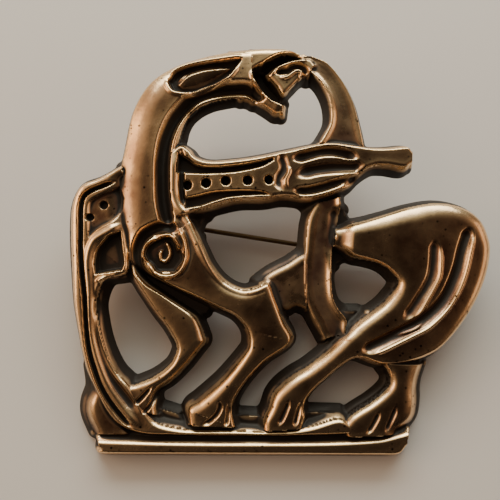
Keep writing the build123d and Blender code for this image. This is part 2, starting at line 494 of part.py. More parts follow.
def band_height(x, y, band):
    """Height of one band, and how far inside its crest line each point lies.

    At the share s of the way across, the hollow is 1 - |2 s - 1| to the power of the brim. Each shoulder
    falls off by the square of the share of its width that is left. Two leaning walls cut the top.
    """
    shape, inset = np.full(x.shape, -9.0), np.full(x.shape, -99.0)
    close = near(x, y, to_plate(np.asarray(band.sections).reshape(-1, 2)), 2.5)
    inside, (from_left, left_row), (from_right, right_row), ends = strip(x[close], y[close], band.sections)
    across = from_left / (from_left + from_right + 1e-9)
    row = left_row * (1 - across) + right_row * across
    high = relief_height * at_row(band.height, row)
    top = high - relief_height * at_row(band.hollow, row) * (1 - np.abs(2 * across - 1)**band.brim)
    walls = []
    for gap, edge, place in ((from_left, band.left, left_row), (from_right, band.right, right_row)):
        drop = relief_height * at_row(edge.drop, place)
        top = top - drop * np.where(inside, (1 - np.minimum(gap / (at_row(edge.roll, place) * part_across), 1))**2, 1)
        crest = high - drop
        walls.append(crest + np.where(inside, gap, -gap) * crest / (at_row(edge.run, place) * draft_run))
    end_wall = high * (1 - ends / draft_run)
    inner = round_min(round_min(top, walls[0], edge_round), walls[1], edge_round)
    outer = round_min(top, np.maximum(np.maximum(*walls), end_wall), edge_round)
    to_crest = np.minimum(np.minimum(from_left, from_right), ends)
    shape[close] = np.where(inside, inner, outer)
    inset[close] = np.where(inside, to_crest, -to_crest)
    return shape, inset


def line_height(x, y, half_width, height, points):
    """Height of a seam or channel: one less the square of the share of the half width, faded at its ends."""
    result = np.zeros(x.shape)
    close = near(x, y, to_plate(points), half_width * part_across + 0.5)
    gap, row = distance(x[close], y[close], smooth(points))
    fade = np.sqrt(np.clip(np.minimum(row, len(points) - 1 - row) / 0.8, 0, 1))
    reach = np.clip(gap / (half_width * part_across * (0.35 + 0.65 * fade)), 0, 1)
    result[close] = relief_height * height * fade * (1 - reach**2)
    return result


def cast_face(x, y):
    """Height of the cast face above the back plane, and the distance inside the crest lines.

    The highest band or floor wins, with filled corners. Then the deepest bed, channel or pit is cut, and
    the seams are added. Below zero height there is no metal.
    """
    metal, inset = np.full(x.shape, -9.0), np.full(x.shape, -99.0)
    for band in BANDS.values():
        shape, within_band = band_height(x, y, band)
        metal = round_max(metal, shape, seam_round)
        inset = np.maximum(inset, within_band)
    for height, sections in FLOORS.values():
        metal = round_max(metal, band_height(x, y, Band(height, 0, 2, FLOOR_EDGE, FLOOR_EDGE, sections))[0], seam_round)

    cut, raised = np.zeros(x.shape), np.zeros(x.shape)
    for depth, sections in [(EYE_DEPTH, EYE), *BEDS.values()]:
        inside, (from_left, _), (from_right, _), ends = strip(x, y, sections)
        bowl = np.clip(2 * np.minimum(np.minimum(from_left, from_right), ends + 0.1), 0, 1)
        cut = np.minimum(cut, np.where(inside, -depth * relief_height * bowl, 0))
    for half_width, height, points in LINES.values():
        shape = line_height(x, y, half_width, height, points)
        cut, raised = np.minimum(cut, shape), raised + np.maximum(shape, 0)
    for across, up, radius, depth in PITS:
        gap = np.hypot(x - across * part_across, y - up * part_up) / (radius * part_across)
        cut = np.minimum(cut, -depth * relief_height * np.clip(2 - 2 * gap, 0, 1))
    inside, (from_left, _), (from_right, _), _ = strip(x, y, LENS)
    raised = raised + np.where(inside, LENS_RISE * relief_height * from_right / (from_left + from_right + 1e-9), 0)

    depth = np.clip(metal / (0.3 * relief_height), 0, 1)
    carved = np.maximum(metal + (cut + raised) * depth, np.minimum(metal, SOLE_SHARE * relief_height))
    return np.where(metal > 0, carved, metal), inset


def moved_onto(x, y, which, limit):
    """Points moved onto the zero line of the height (which = 0) or of the inset (which = 1) if near."""
    reach = 0.05
    value = cast_face(x, y)[which]
    slope_x = (cast_face(x + reach, y)[which] - cast_face(x - reach, y)[which]) / (2 * reach)
    slope_y = (cast_face(x, y + reach)[which] - cast_face(x, y - reach)[which]) / (2 * reach)
    steep = slope_x**2 + slope_y**2 + 1e-6
    near = np.abs(value) / np.sqrt(steep) < limit
    new_x = np.where(near, x - value / steep * slope_x, x)
    new_y = np.where(near, y - value / steep * slope_y, y)
    return new_x, new_y, near


def lattice():
    """Lattice points over the plate, with their heights.

    Those near a crest line are moved onto it, and those near the outline onto that.
    """
    across = np.arange(-28.6 * part_across, 36.4 * part_across, facet_size)
    up = np.arange(-1.2 * part_up, 60.6 * part_up, facet_size)
    x, y = np.meshgrid(across, up)
    crest_x, crest_y, near = moved_onto(x, y, 1, 0.45 * facet_size)
    above = cast_face(crest_x, crest_y)[0] > 0.5 * relief_height
    x, y = np.where(near & above, crest_x, x), np.where(near & above, crest_y, y)
    for _ in range(2):
        x, y, near = moved_onto(x, y, 0, 0.45 * facet_size)
    height = np.where(near, 0.0, cast_face(x, y)[0])
    return x, y, height


def facets():
    """Facets of the cast face: lattice cells split in two, cut where the outline crosses a side."""
    x, y, height = lattice()
    columns = x.shape[1]
    points = list(zip(x.ravel().tolist(), y.ravel().tolist(), height.ravel().tolist()))
    crossings = {}

    def crossing(a, b):
        key = (min(a, b), max(a, b))
        if key not in crossings:
            (ax, ay, az), (bx, by, bz) = points[key[0]], points[key[1]]
            t = az / (az - bz)
            crossings[key] = len(points)
            points.append((ax + t * (bx - ax), ay + t * (by - ay), 0.0))
        return crossings[key]

    faces = []
    for row in range(x.shape[0] - 1):
        for column in range(columns - 1):
            a = row * columns + column
            b, c, d = a + 1, a + columns + 1, a + columns
            if max(points[k][2] for k in (a, b, c, d)) <= 0:
                continue
            flatter = abs(points[a][2] - points[c][2]) <= abs(points[b][2] - points[d][2])
            halves = ((a, b, c), (a, c, d)) if flatter else ((a, b, d), (b, c, d))
            for corners in halves:
                kept = []
                for here, after in zip(corners, corners[1:] + corners[:1]):
                    if points[here][2] >= 0:
                        kept.append(here)
                    if points[here][2] * points[after][2] < 0:
                        kept.append(crossing(here, after))
                if len(kept) >= 3 and max(points[k][2] for k in kept) > 0:
                    faces += [(kept[0], kept[k], kept[k + 1]) for k in range(1, len(kept) - 1)]
    return points, faces


def outline_loops(faces):
    """Closed loops of the facets' free sides: the plate's outline and its piercings."""
    sides = {(a, b) for face in faces for a, b in zip(face, face[1:] + face[:1])}
    following = {a: b for a, b in sides if (b, a) not in sides}
    loops = []
    while following:
        start, here = following.popitem()
        loop = [start]
        while here != start:
            loop.append(here)
            here = following.pop(here)
        loops.append(loop)
    return loops


def cast_plate():
    """The pierced plate: the facets of the face, closed by one flat back."""
    points, faces = facets()
    corners = [Vector(*point) for point in points]
    skin = [Face(Wire.make_polygon([corners[k] for k in face])) for face in faces]
    wires = [Wire.make_polygon([corners[k] for k in loop]) for loop in outline_loops(faces)]
    wires.sort(key=lambda wire: wire.length, reverse=True)
    skin.append(Face(wires[0], wires[1:]))
    return Solid(Shell(skin))


def pin_plane():
    """The pin's own axes on the plate's back: X along the pin, Y along the rivet, Z out of the face."""
    start, end = to_plate([HINGE_AT, CATCH_AT])
    along = end - start
    origin = (start[0], start[1], -pin_behind)
    return Plane(origin=origin, x_dir=(along[0], along[1], 0), z_dir=(0, 0, 1)), math.hypot(*along)


eye_width = pin_wire + 0.4
lug_space = eye_width + 2 * side_gap
lug_centre = (lug_space + lug_thickness) / 2
rivet_length = lug_space + 2 * lug_thickness
bed_height = lambda up: up * math.tan(math.radians(lean_angle))


def hinge_lugs(frame, drop):
    """Two lugs side by side, rounded round the rivet and standing on the table."""
    lugs = []
    for side in (-1, 1):
        flag = Pos(0, side * lug_centre, (pin_behind - drop) / 2) * Box(lug_width, lug_thickness,
                                                                        pin_behind + drop)
        bore = Pos(0, side * lug_centre, 0) * Rot(90, 0, 0) * Cylinder(rivet_wire / 2 + rivet_gap,
                                                                       2 * lug_thickness)
        lugs.append(flag - bore)
    return [frame.location * lug for lug in lugs]


def forked_catch(frame, reach, drop):
    """A fork that stands on the table and holds the pin between two prongs, open away from the plate."""
    slot = pin_wire + 2 * catch_gap
    block = Pos(reach, 0, (pin_behind - drop) / 2) * Box(catch_length, slot + 2 * catch_wall,
                                                         pin_behind + drop)
    trough = Pos(reach, 0, 0) * Rot(0, 90, 0) * Cylinder(slot / 2, 2 * catch_length)
    way_out = Pos(reach, 0, -drop / 2) * Box(2 * catch_length, slot, drop)
    return frame.location * (block - trough - way_out)


def pin_stem(frame, reach):
    """The pin: an eye that turns on the rivet, a tapered neck, and a straight wire with a ground point."""
    eye = Rot(90, 0, 0) * Cylinder(eye_outer / 2, eye_width)
    bore = Rot(90, 0, 0) * Cylinder(rivet_wire / 2 + running_gap, 2 * eye_width)
    wire_end = reach - catch_length / 2 - taper_start
    point_length = taper_start + catch_length + tip_past_catch
    root = eye_outer / 2 - pin_wire / 2
    neck = Pos((root + neck_length) / 2, 0, 0) * Rot(0, 90, 0) * Cone(neck_wire / 2, pin_wire / 2,
                                                                      neck_length - root)
    wire = Pos((neck_length + wire_end) / 2, 0, 0) * Rot(0, 90, 0) * Cylinder(pin_wire / 2,
                                                                            wire_end - neck_length)
    point = Pos(wire_end + point_length / 2, 0, 0) * Rot(0, 90, 0) * Cone(pin_wire / 2, pin_wire / 8,
                                                                         point_length)
    return frame.location * ((eye + neck + wire + point) - bore)


def hinge_rivet(frame):
    """The rivet through both lugs, with a peened head at each end."""
    body = Rot(90, 0, 0) * Cylinder(rivet_wire / 2, rivet_length + 2 * rivet_gap)
    for side in (-1, 1):
        middle = side * ((rivet_length + rivet_head_height) / 2 + rivet_gap)
        body += Pos(0, middle, 0) * Rot(90, 0, 0) * Cylinder(rivet_head / 2, rivet_head_height)
    return frame.location * body


plate = cast_plate()
frame, reach = pin_plane()
low_edge = plate.bounding_box().min.Y
lugs_up = to_plate([HINGE_AT])[0][1] - low_edge
catch_up = to_plate([CATCH_AT])[0][1] - low_edge
deepest = bed_height(lugs_up + 2 * lug_centre) + relief_height

casting = plate
for piece in hinge_lugs(frame, deepest - pin_behind) + [forked_catch(frame, reach, deepest - pin_behind)]:
    casting = casting + piece

# Lean the plate back about the bar's lower edge, and cut the feet level with the table
lean = Rot(lean_angle, 0, 0) * Pos(0, -low_edge, 0)
leaned = {
    "cast_openwork_plate": lean * casting,
    "pin_stem": lean * pin_stem(frame, reach),
    "hinge_rivet": lean * hinge_rivet(frame),
}
below = Pos(0, face_height / 2, -deepest) * Box(2 * face_width, 2 * face_height, 2 * deepest)
leaned["cast_openwork_plate"] = leaned["cast_openwork_plate"] - below

# Stand the brooch on the middle of its own box
boxes = [shape.bounding_box() for shape in leaned.values()]
low = [min(getattr(box.min, axis) for box in boxes) for axis in "XYZ"]
high = [max(getattr(box.max, axis) for box in boxes) for axis in "XYZ"]
centre = Pos(-(low[0] + high[0]) / 2, -(low[1] + high[1]) / 2, -low[2])

os.makedirs("parts", exist_ok=True)
for node, shape in leaned.items():
    export_step(centre * shape, f"parts/{node}.step")
    placed = (centre * shape).bounding_box()
    print(node, [round(v, 3) for v in (*placed.min, *placed.max)], round(shape.volume, 3))
hinge = Plane(centre * lean * frame.location)
print("pin axis at", [round(v, 4) for v in hinge.origin], "along the rivet",
      [round(v, 5) for v in hinge.y_dir], "along the pin", [round(v, 5) for v in hinge.x_dir],
      "out of the face", [round(v, 5) for v in hinge.z_dir], "to the catch", round(reach, 3))
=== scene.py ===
"""Openwork animal brooch: the looks of the casting, its pin and rivet, and a plain studio."""
import json
import math
from collections import namedtuple

import bpy
import numpy as np
from mathutils import Euler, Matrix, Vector, geometry


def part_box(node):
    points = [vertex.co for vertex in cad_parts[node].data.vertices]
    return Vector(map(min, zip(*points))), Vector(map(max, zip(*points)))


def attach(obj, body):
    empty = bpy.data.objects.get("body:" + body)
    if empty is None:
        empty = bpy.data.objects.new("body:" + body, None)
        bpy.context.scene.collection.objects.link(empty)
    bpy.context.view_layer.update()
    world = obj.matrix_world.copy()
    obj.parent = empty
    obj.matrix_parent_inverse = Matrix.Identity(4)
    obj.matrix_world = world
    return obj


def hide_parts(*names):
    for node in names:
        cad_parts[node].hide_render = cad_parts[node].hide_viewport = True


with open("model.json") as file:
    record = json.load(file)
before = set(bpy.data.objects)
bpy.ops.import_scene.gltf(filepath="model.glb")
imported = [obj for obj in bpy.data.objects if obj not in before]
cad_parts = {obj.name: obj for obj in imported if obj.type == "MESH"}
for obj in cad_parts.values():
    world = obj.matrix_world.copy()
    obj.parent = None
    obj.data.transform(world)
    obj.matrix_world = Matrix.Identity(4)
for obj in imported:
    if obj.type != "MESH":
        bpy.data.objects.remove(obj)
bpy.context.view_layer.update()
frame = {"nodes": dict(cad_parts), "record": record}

bl_info = {
    "name": "Openwork animal brooch",
    "version": (1, 0, 0),
    "blender": (4, 5, 0),
    "location": "View3D > Sidebar > Brooch",
    "description": "Builds the finish of a pierced bronze brooch and its studio",
    "category": "Object",
}

PLATE_LOW, PLATE_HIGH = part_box("cast_openwork_plate")
HINGE = frame["record"]["behaviour"]["joints"][0]
MM = 0.001

# Driving dimensions, in millimetres, as the source of the part states them
FACE_WIDTH = 59.0
FACE_HEIGHT = 56.6
RELIEF_HEIGHT = 3.0
DRAFT_RUN = 1.0
PIN_WIRE = 0.7
PIN_BEHIND = 2.5
RIVET_WIRE = 1.0
RIVET_GAP = 0.02
SIDE_GAP = 0.1
LUG_THICKNESS = 1.0
LUG_WIDTH = 2.1
CATCH_LENGTH = 2.0
CATCH_WALL = 0.9
CATCH_GAP = 0.06
LEAN = math.radians(9.0)
EYE_WIDTH = PIN_WIRE + 0.4   # the pin's eye along the rivet

# Sizes of the finer surface drawn here, in millimetres; the solid is rounded less
EDGE_ROUND = 1.1         # height over which a wall rounds into the top
SEAM_ROUND = 0.7         # height over which the corner between two walls is filled
WALL_REACH = 2.5         # how far round a band's table its walls are worked out
LINE_REACH = 0.5         # the same beyond the half width of a line
BURIED = 0.3             # how far the lugs and the catch run into the plate
SLOPE_REACH = 0.05       # to each side of a point, for the slope of the face there
FINE_SPREAD = 0.45       # ground that tells a ridge from a recess
BROAD_SPREAD = 1.4       # ground that tells a high limb from a low one
FINE_RISE = 0.30         # rise above the fine ground that makes a full ridge
BROAD_RISE = 1.2         # rise above the broad ground that makes a full height
NO_METAL = -9.0          # height where no band reaches
BELOW_TABLE = -9.0       # height of a profile's points that are cut off by the table

# Box of the lattice in parts of the chart, across and up: it holds the whole outline
LATTICE = ((-28.6, 36.4), (-1.2, 60.6))

# Shares and other plain numbers
BOWL = 1.6               # a bed or pit is at its depth over 1 / BOWL, of a millimetre or of its radius
FADE_ROWS = 0.9          # rows over which a line comes to its height
FADE_START = 0.05        # share of that height at its very end
CUT_FADE = 0.3           # cuts and seams fade out below this share of RELIEF_HEIGHT
EDGE_PULL = 0.45         # lattice points nearer the outline than this share of the step move onto it
OPEN_GROUND = 0.8        # how much open ground round a point adds to its height
STEEPEST = 3             # slope of a fully steep wall
LEAST_GAP = 1e-9         # keeps a share defined where the edges of a strip meet
LEAST = 1e-6             # keeps a quotient finite
LUG_POINTS = 96          # points round a lug
SLOT_POINTS = 13         # points round the end of the catch's slot
SHARP = 35.0             # angle of a lug's or the catch's edge that stays sharp, in degrees
DULL = 0.45              # share of a wire's colour in its dull patches
FLOOR_HALF = 1.5         # half the side of the floor, in metres
AIM = (0.0, 0.0, 0.006)  # what the lights point at, in metres

# Places of the hinge and the catch on the plate, in parts of the chart
HINGE_AT = (-16.8, 33.6)
CATCH_AT = (24.4, 28.0)

# One part of the chart, across and up
PART_ACROSS = FACE_WIDTH / 60.0
PART_UP = FACE_HEIGHT / 57.5

# A band is a limb, rim or strand: a strip between a left and a right edge, with a row for each section.
# height and hollow are shares of RELIEF_HEIGHT; a negative hollow is a crown, and a larger brim gives a
# flatter floor between narrower rims. An edge has run, a share of DRAFT_RUN, then the width of its rolled
# shoulder in parts of the chart and the shoulder's drop as a share of RELIEF_HEIGHT.
# One number holds for every section; a tuple has one for each, and its last holds for those after it.
Edge = namedtuple("Edge", "run roll drop")
Band = namedtuple("Band", "height hollow brim left right sections")

# Columns of each section: left across, left up, right across, right up, in parts of the chart
BANDS = {
    "neck": Band(
        (0.80, 0.97, 0.99, 0.99, 0.99, 0.99, 0.99, 1.0), -0.08, 2,
        Edge((0.9, 0.7, 0.5, 0.45, 0.45, 0.45, 0.5, 0.6, 0.7, 0.8),
             (1.8, 2.8, 3.6, 3.6, 3.6, 3.6, 3.4, 2.8, 2.2, 1.8, 1.6),
             (0.18, 0.28, 0.36, 0.38, 0.38, 0.38, 0.37, 0.33, 0.28, 0.26)),
        Edge(0.75, 2.1, 0.28),
        [(-18.5, 29.0, -9.2, 30.4), (-19.4, 32.6, -10.4, 33.2), (-20.0, 36.0, -12.0, 36.0),
         (-20.15, 40.0, -12.0, 40.0), (-19.55, 44.0, -11.9, 43.6), (-18.6, 49.1, -11.0, 47.3),
         (-16.4, 53.15, -9.6, 49.2), (-12.9, 55.7, -7.5, 50.5), (-8.5, 57.35, -5.0, 51.2),
         (-4.1, 58.4, -3.0, 51.5), (-1.6, 58.6, -1.2, 51.1)]),
    "upper_jaw": Band(
        1.0, 0.0, 2,
        Edge(0.8, 1.4, 0.26),
        Edge(0.7, 0.4, 0.03),
        [(-4.6, 58.2, -3.0, 54.0), (-1.2, 58.8, -1.1, 55.7), (1.75, 59.0, 1.4, 57.1), (4.0, 58.9, 3.2, 58.0),
         (6.2, 58.1, 6.0, 57.8)]),
    "lower_jaw": Band(
        (0.84, 0.93, 1.0), 0.03, 2,
        Edge(0.8, 0.4, 0.03),
        Edge(0.8, 1.3, 0.20),
        [(-2.5, 55.0, -3.0, 51.5), (-1.2, 54.6, -1.2, 51.1), (-0.3, 53.0, 0.3, 50.3),
         (0.9, 51.55, 1.2, 49.75), (2.3, 50.7, 2.1, 49.2), (3.2, 50.3, 3.1, 49.3)]),
    "breast_and_second_leg": Band(
        (0.70, 0.88, 0.98, 1.0, 1.0, 1.0, 1.0, 0.98, 0.97, 0.96),
        (-0.08, -0.08, -0.07, -0.05, -0.04, -0.04, -0.05, -0.06, -0.07, -0.08, -0.10, -0.12, -0.12, -0.12,
         -0.10, -0.06), 2,
        Edge(0.9,
             (3.0, 2.4, 1.4, 0.8, 0.6, 0.6, 0.6, 0.6, 0.7, 0.8, 1.0, 1.5, 1.7, 1.7, 1.5, 1.0),
             (0.36, 0.30, 0.20, 0.12, 0.08, 0.08, 0.08, 0.10, 0.12, 0.16, 0.22, 0.30, 0.33, 0.33, 0.25,
              0.15)),
        Edge((0.5, 0.5, 0.6, 0.8, 1.0),
             (1.3, 1.3, 1.3, 1.5, 1.6, 1.4, 1.2, 1.0, 0.9, 0.8, 0.6, 0.5),
             (0.16, 0.16, 0.18, 0.22, 0.24, 0.20, 0.16, 0.12, 0.10, 0.10, 0.07, 0.05)),
        [(-19.7, 35.4, -11.4, 36.2), (-19.3, 32.6, -9.7, 33.2), (-18.5, 29.0, -7.9, 29.8),
         (-17.7, 26.6, -6.6, 26.9), (-14.2, 24.65, -4.8, 24.6), (-9.6, 22.75, -2.25, 23.4),
         (-5.8, 21.0, 0.0, 23.8), (-3.1, 19.7, 1.5, 24.5), (-1.6, 17.9, 2.5, 22.2), (-1.3, 16.0, 3.7, 19.2),
         (-2.0, 14.6, 4.8, 16.3), (-4.7, 11.4, 1.3, 13.6), (-6.6, 9.6, -1.0, 11.2), (-8.2, 8.2, -2.6, 8.9),
         (-9.6, 6.9, -3.3, 6.9), (-9.2, 4.7, -2.8, 4.5)]),
    "first_leg": Band(
        0.83, -0.05, 2,
        Edge(0.9, (0.5, 0.5, 0.6, 0.6, 0.7, 0.8, 0.8, 0.8, 0.8, 0.9, 0.9, 0.8, 0.7, 0.6), 0.12),
        Edge(0.8,
             (0.4, 0.4, 0.4, 0.5, 0.7, 1.1, 1.5, 1.5, 1.5, 1.6, 1.6, 1.6, 1.2, 1.0),
             (0.05, 0.05, 0.06, 0.08, 0.10, 0.18, 0.24, 0.24, 0.22, 0.25, 0.25, 0.22, 0.16, 0.12)),
        [(-18.2, 27.4, -17.5, 26.9), (-17.8, 25.2, -16.0, 24.9), (-17.0, 23.7, -14.4, 23.6),
         (-15.9, 22.1, -12.1, 22.0), (-14.4, 20.0, -9.3, 20.1), (-12.8, 18.0, -8.2, 18.9),
         (-11.8, 16.4, -7.4, 17.1), (-11.4, 15.5, -7.2, 16.0), (-11.4, 14.6, -8.2, 14.6),
         (-12.2, 12.9, -9.9, 12.4), (-14.2, 11.3, -12.0, 10.3), (-16.4, 10.3, -13.7, 9.1),
         (-18.2, 9.6, -13.9, 7.4), (-18.0, 7.6, -13.7, 5.8)]),
    "tail": Band(
        0.97,
        (0.03, 0.05, 0.05, 0.05, 0.05, 0.05, 0.05, 0.10, 0.14, 0.16, 0.16, 0.15, 0.12, 0.10, 0.05, 0), 2,
        Edge(0.8,
             (0.9, 0.9, 1.1, 1.3, 1.4, 1.4, 1.3, 1.2, 1.1, 1.0, 0.9, 0.8, 0.7, 0.7, 0.6),
             (0.15, 0.16, 0.20, 0.24, 0.26, 0.26, 0.24, 0.22, 0.20, 0.17, 0.14, 0.12, 0.08, 0.08, 0.08,
              0.10)),
        Edge(1.1, (2.4, 2.8, 3.0, 2.6, 1.6, 0.8, 0.6), (0.36, 0.38, 0.38, 0.34, 0.20, 0.10, 0.08)),
        [(-19.8, 40.9, -19.2, 38.5), (-22.85, 39.05, -19.2, 37.0), (-25.4, 37.9, -19.0, 35.5),
         (-26.6, 35.4, -18.9, 33.5), (-26.75, 32.0, -18.7, 31.0), (-26.5, 28.0, -18.3, 28.0),
         (-26.25, 25.5, -18.6, 25.5), (-26.0, 23.0, -21.4, 24.6), (-25.7, 20.8, -22.6, 21.6),
         (-25.1, 18.0, -22.3, 18.6), (-24.4, 15.0, -21.3, 15.1), (-23.5, 12.0, -19.7, 12.0),
         (-22.2, 9.5, -17.7, 10.0), (-20.6, 6.6, -16.5, 8.2), (-18.6, 4.6, -15.0, 6.2),
         (-15.5, 3.5, -13.6, 4.95), (-11.5, 3.35, -11.0, 4.3), (-8.0, 3.3, -8.0, 3.95),
         (-4.0, 3.3, -4.0, 4.05), (0.5, 3.3, 0.5, 3.8), (4.5, 3.3, 4.5, 4.1), (8.0, 3.4, 8.0, 4.7),
         (11.0, 3.5, 11.5, 5.7), (13.0, 3.6, 13.5, 5.0)]),
    "tail_spur": Band(
        0.73, 0.0, 2,
        Edge(1.2, 1.6, 0.27),
        Edge(0.8, 0.4, 0.03),
        [(-23.6, 12.4, -22.0, 10.6), (-23.2, 9.6, -21.4, 8.4), (-23.8, 7.4, -20.4, 6.3),
         (-23.7, 5.6, -18.8, 4.6), (-22.6, 3.2, -17.5, 3.3)]),
    "ground_bar": Band(
        0.93, 0.0, 2,
        Edge(1.1, 0.3, 0.03),
        Edge(1.0, 0.6, 0.13),
        [(-21.3, 1.5, -21.7, 2.8), (-20.6, 0.85, -19.5, 2.7), (-10.0, 0.8, -10.0, 2.5), (0.0, 0.8, 0.0, 2.5),
         (10.0, 0.8, 10.0, 2.6), (17.0, 0.8, 17.0, 3.0), (20.1, 0.9, 20.2, 3.7), (21.3, 2.0, 21.7, 4.1)]),
    "biting_head": Band(
        0.97, 0.02, 2,
        Edge(0.9, 0.5, 0.07),
        Edge((1.2, 1.2, 1.2, 1.2, 1.2, 1.2, 1.2, 1.2, 1.2, 1.2, 1.2, 1.2, 1.0, 1.0, 1.0, 0.9), 0.6, 0.08),
        [(-13.2, 42.6, -12.2, 32.8), (-11.6, 43.9, -11.2, 33.4), (-10.3, 43.4, -10.3, 34.0),
         (-9.2, 42.3, -8.9, 34.6), (-7.0, 41.8, -6.2, 35.5), (-3.0, 42.2, -3.0, 36.3),
         (0.5, 42.85, 0.5, 36.5), (4.0, 43.7, 3.5, 37.0), (7.6, 44.55, 7.5, 36.8), (10.3, 45.0, 10.3, 37.6),
         (13.0, 44.8, 12.6, 38.9), (15.5, 44.5, 14.2, 40.5), (17.0, 44.4, 16.4, 41.7),
         (19.0, 44.5, 18.4, 41.9), (21.5, 44.75, 21.0, 41.6), (22.3, 44.0, 22.15, 42.2)]),
    "flank": Band(
        0.60, 0.0, 2,
        Edge(1.2, 0.6, 0.07),
        Edge(1.0, 0.5, 0.07),
        [(0.0, 24.6, 2.2, 21.8), (2.0, 26.1, 3.4, 20.6), (4.4, 27.4, 4.4, 20.6), (6.0, 28.5, 5.6, 21.2),
         (6.95, 28.9, 7.1, 20.8)]),
    "arched_neck": Band(
        0.98, 0.30, 4,
        Edge(0.9, 0.9, 0.18),
        Edge(0.9, 0.7, 0.10),
        [(5.2, 57.4, 4.8, 56.6), (6.8, 58.1, 6.6, 55.9), (8.1, 57.85, 7.6, 55.2), (9.9, 57.0, 8.9, 53.9),
         (12.1, 54.3, 9.9, 52.0), (13.6, 51.3, 10.35, 50.0), (14.4, 48.5, 10.25, 48.1),
         (14.9, 46.4, 9.5, 46.5), (15.3, 44.6, 8.6, 45.0)]),
    "curl": Band(
        0.95, 0.0, 2,
        Edge(0.9, 0.6, 0.08),
        Edge(0.45, 0.6, 0.08),
        [(0.85, 54.75, 1.1, 54.4), (1.75, 55.65, 2.2, 53.2), (2.7, 56.35, 3.2, 52.0), (4.7, 57.05, 4.4, 53.0),
         (6.9, 57.4, 5.5, 54.2), (7.8, 56.6, 6.8, 55.0)]),
    "upright": Band(
        0.88, 0.32, 3,
        Edge(1.1, 1.2, 0.24),
        Edge((0.9, 0.9, 0.9, 0.9, 0.9, 0.9, 1.1, 1.3, 1.4), 0.6, 0.07),
        [(8.5, 36.3, 11.8, 37.2), (7.8, 35.2, 11.9, 35.2), (7.2, 33.4, 11.6, 33.0), (6.9, 30.0, 11.0, 30.4),
         (6.75, 27.0, 10.7, 27.5), (6.8, 24.0, 10.6, 25.0), (7.1, 22.0, 10.9, 22.4), (7.9, 20.0, 11.8, 20.7),
         (8.9, 18.2, 12.8, 19.4), (9.8, 16.6, 12.6, 17.4)]),
    "haunch": Band(
        1.02, -0.08, 2,
        Edge((1.0, 1.0, 0.8, 0.7, 0.7, 0.7, 0.7, 0.7, 0.6, 0.5, 0.5, 0.5, 0.6, 0.7, 1.0),
             (1.4, 1.6, 2.0, 2.3, 2.5, 2.5, 2.4, 2.2, 2.0, 1.8, 1.7, 1.6, 1.4, 1.2, 0.9, 0.8),
             (0.12, 0.20, 0.26, 0.30, 0.32, 0.32, 0.32, 0.30, 0.28, 0.26, 0.24, 0.22, 0.20, 0.18, 0.13, 0.10,
              0.08)),
        Edge(0.9,
             (1.3, 1.3, 1.3, 1.1, 0.9, 0.9, 1.0, 1.2, 1.5, 1.6, 1.6, 1.6, 1.6, 1.6, 1.4, 1.0, 0.8),
             (0.14, 0.24, 0.22, 0.15, 0.12, 0.12, 0.15, 0.22, 0.28, 0.30, 0.30, 0.30, 0.30, 0.30, 0.25, 0.15,
              0.1)),
        [(11.2, 32.6, 10.9, 29.9), (13.1, 33.2, 12.3, 29.0), (15.5, 33.9, 13.9, 28.3),
         (18.6, 34.9, 15.7, 28.0), (22.1, 36.0, 17.5, 27.5), (26.2, 36.7, 19.0, 26.6),
         (30.0, 36.1, 20.1, 25.3), (32.6, 34.3, 20.0, 24.3), (33.8, 31.5, 19.2, 23.2),
         (33.9, 29.2, 18.0, 21.9), (33.2, 26.1, 16.0, 20.4), (31.9, 23.0, 14.0, 18.9),
         (30.1, 20.0, 12.0, 17.1), (27.8, 17.1, 11.6, 16.6), (25.3, 15.0, 12.2, 16.2),
         (21.5, 13.6, 12.7, 15.8), (17.8, 13.3, 13.1, 15.4), (14.8, 14.2, 13.5, 14.9)]),
    "third_leg": Band(
        (0.94, 1.0, 1.04, 1.04, 1.0, 0.97, 0.96), -0.08, 2,
        Edge(1.0,
             (1.6, 1.6, 1.6, 1.6, 1.6, 1.5, 1.5, 1.4, 1.2, 1.0, 0.8),
             (0.30, 0.30, 0.30, 0.29, 0.28, 0.28, 0.28, 0.26, 0.22, 0.18, 0.12)),
        Edge(0.8, 0.8, 0.10),
        [(16.0, 20.4, 22.4, 17.2), (14.0, 18.9, 20.0, 15.4), (12.0, 17.1, 17.0, 14.0),
         (9.8, 14.9, 14.0, 14.1), (7.3, 12.9, 12.0, 13.0), (5.3, 11.7, 10.0, 11.3), (3.5, 10.3, 8.2, 9.7),
         (2.3, 8.8, 7.1, 8.2), (1.7, 7.0, 6.8, 7.0), (1.1, 5.5, 7.0, 6.0), (1.2, 4.0, 6.5, 4.4)]),
    "fourth_leg": Band(
        0.95, -0.04, 2,
        Edge(0.9, 1.0, 0.16),
        Edge(1.0, 2.6, 0.42),
        [(17.8, 13.4, 24.3, 13.4), (18.9, 11.9, 23.6, 11.4), (19.0, 10.4, 23.3, 9.8), (17.9, 9.1, 23.3, 8.4),
         (16.2, 7.8, 23.2, 7.0), (14.4, 6.7, 22.9, 5.8), (13.0, 5.6, 22.2, 4.8), (12.3, 4.2, 21.2, 4.0),
         (12.8, 3.2, 20.5, 3.6)]),
}

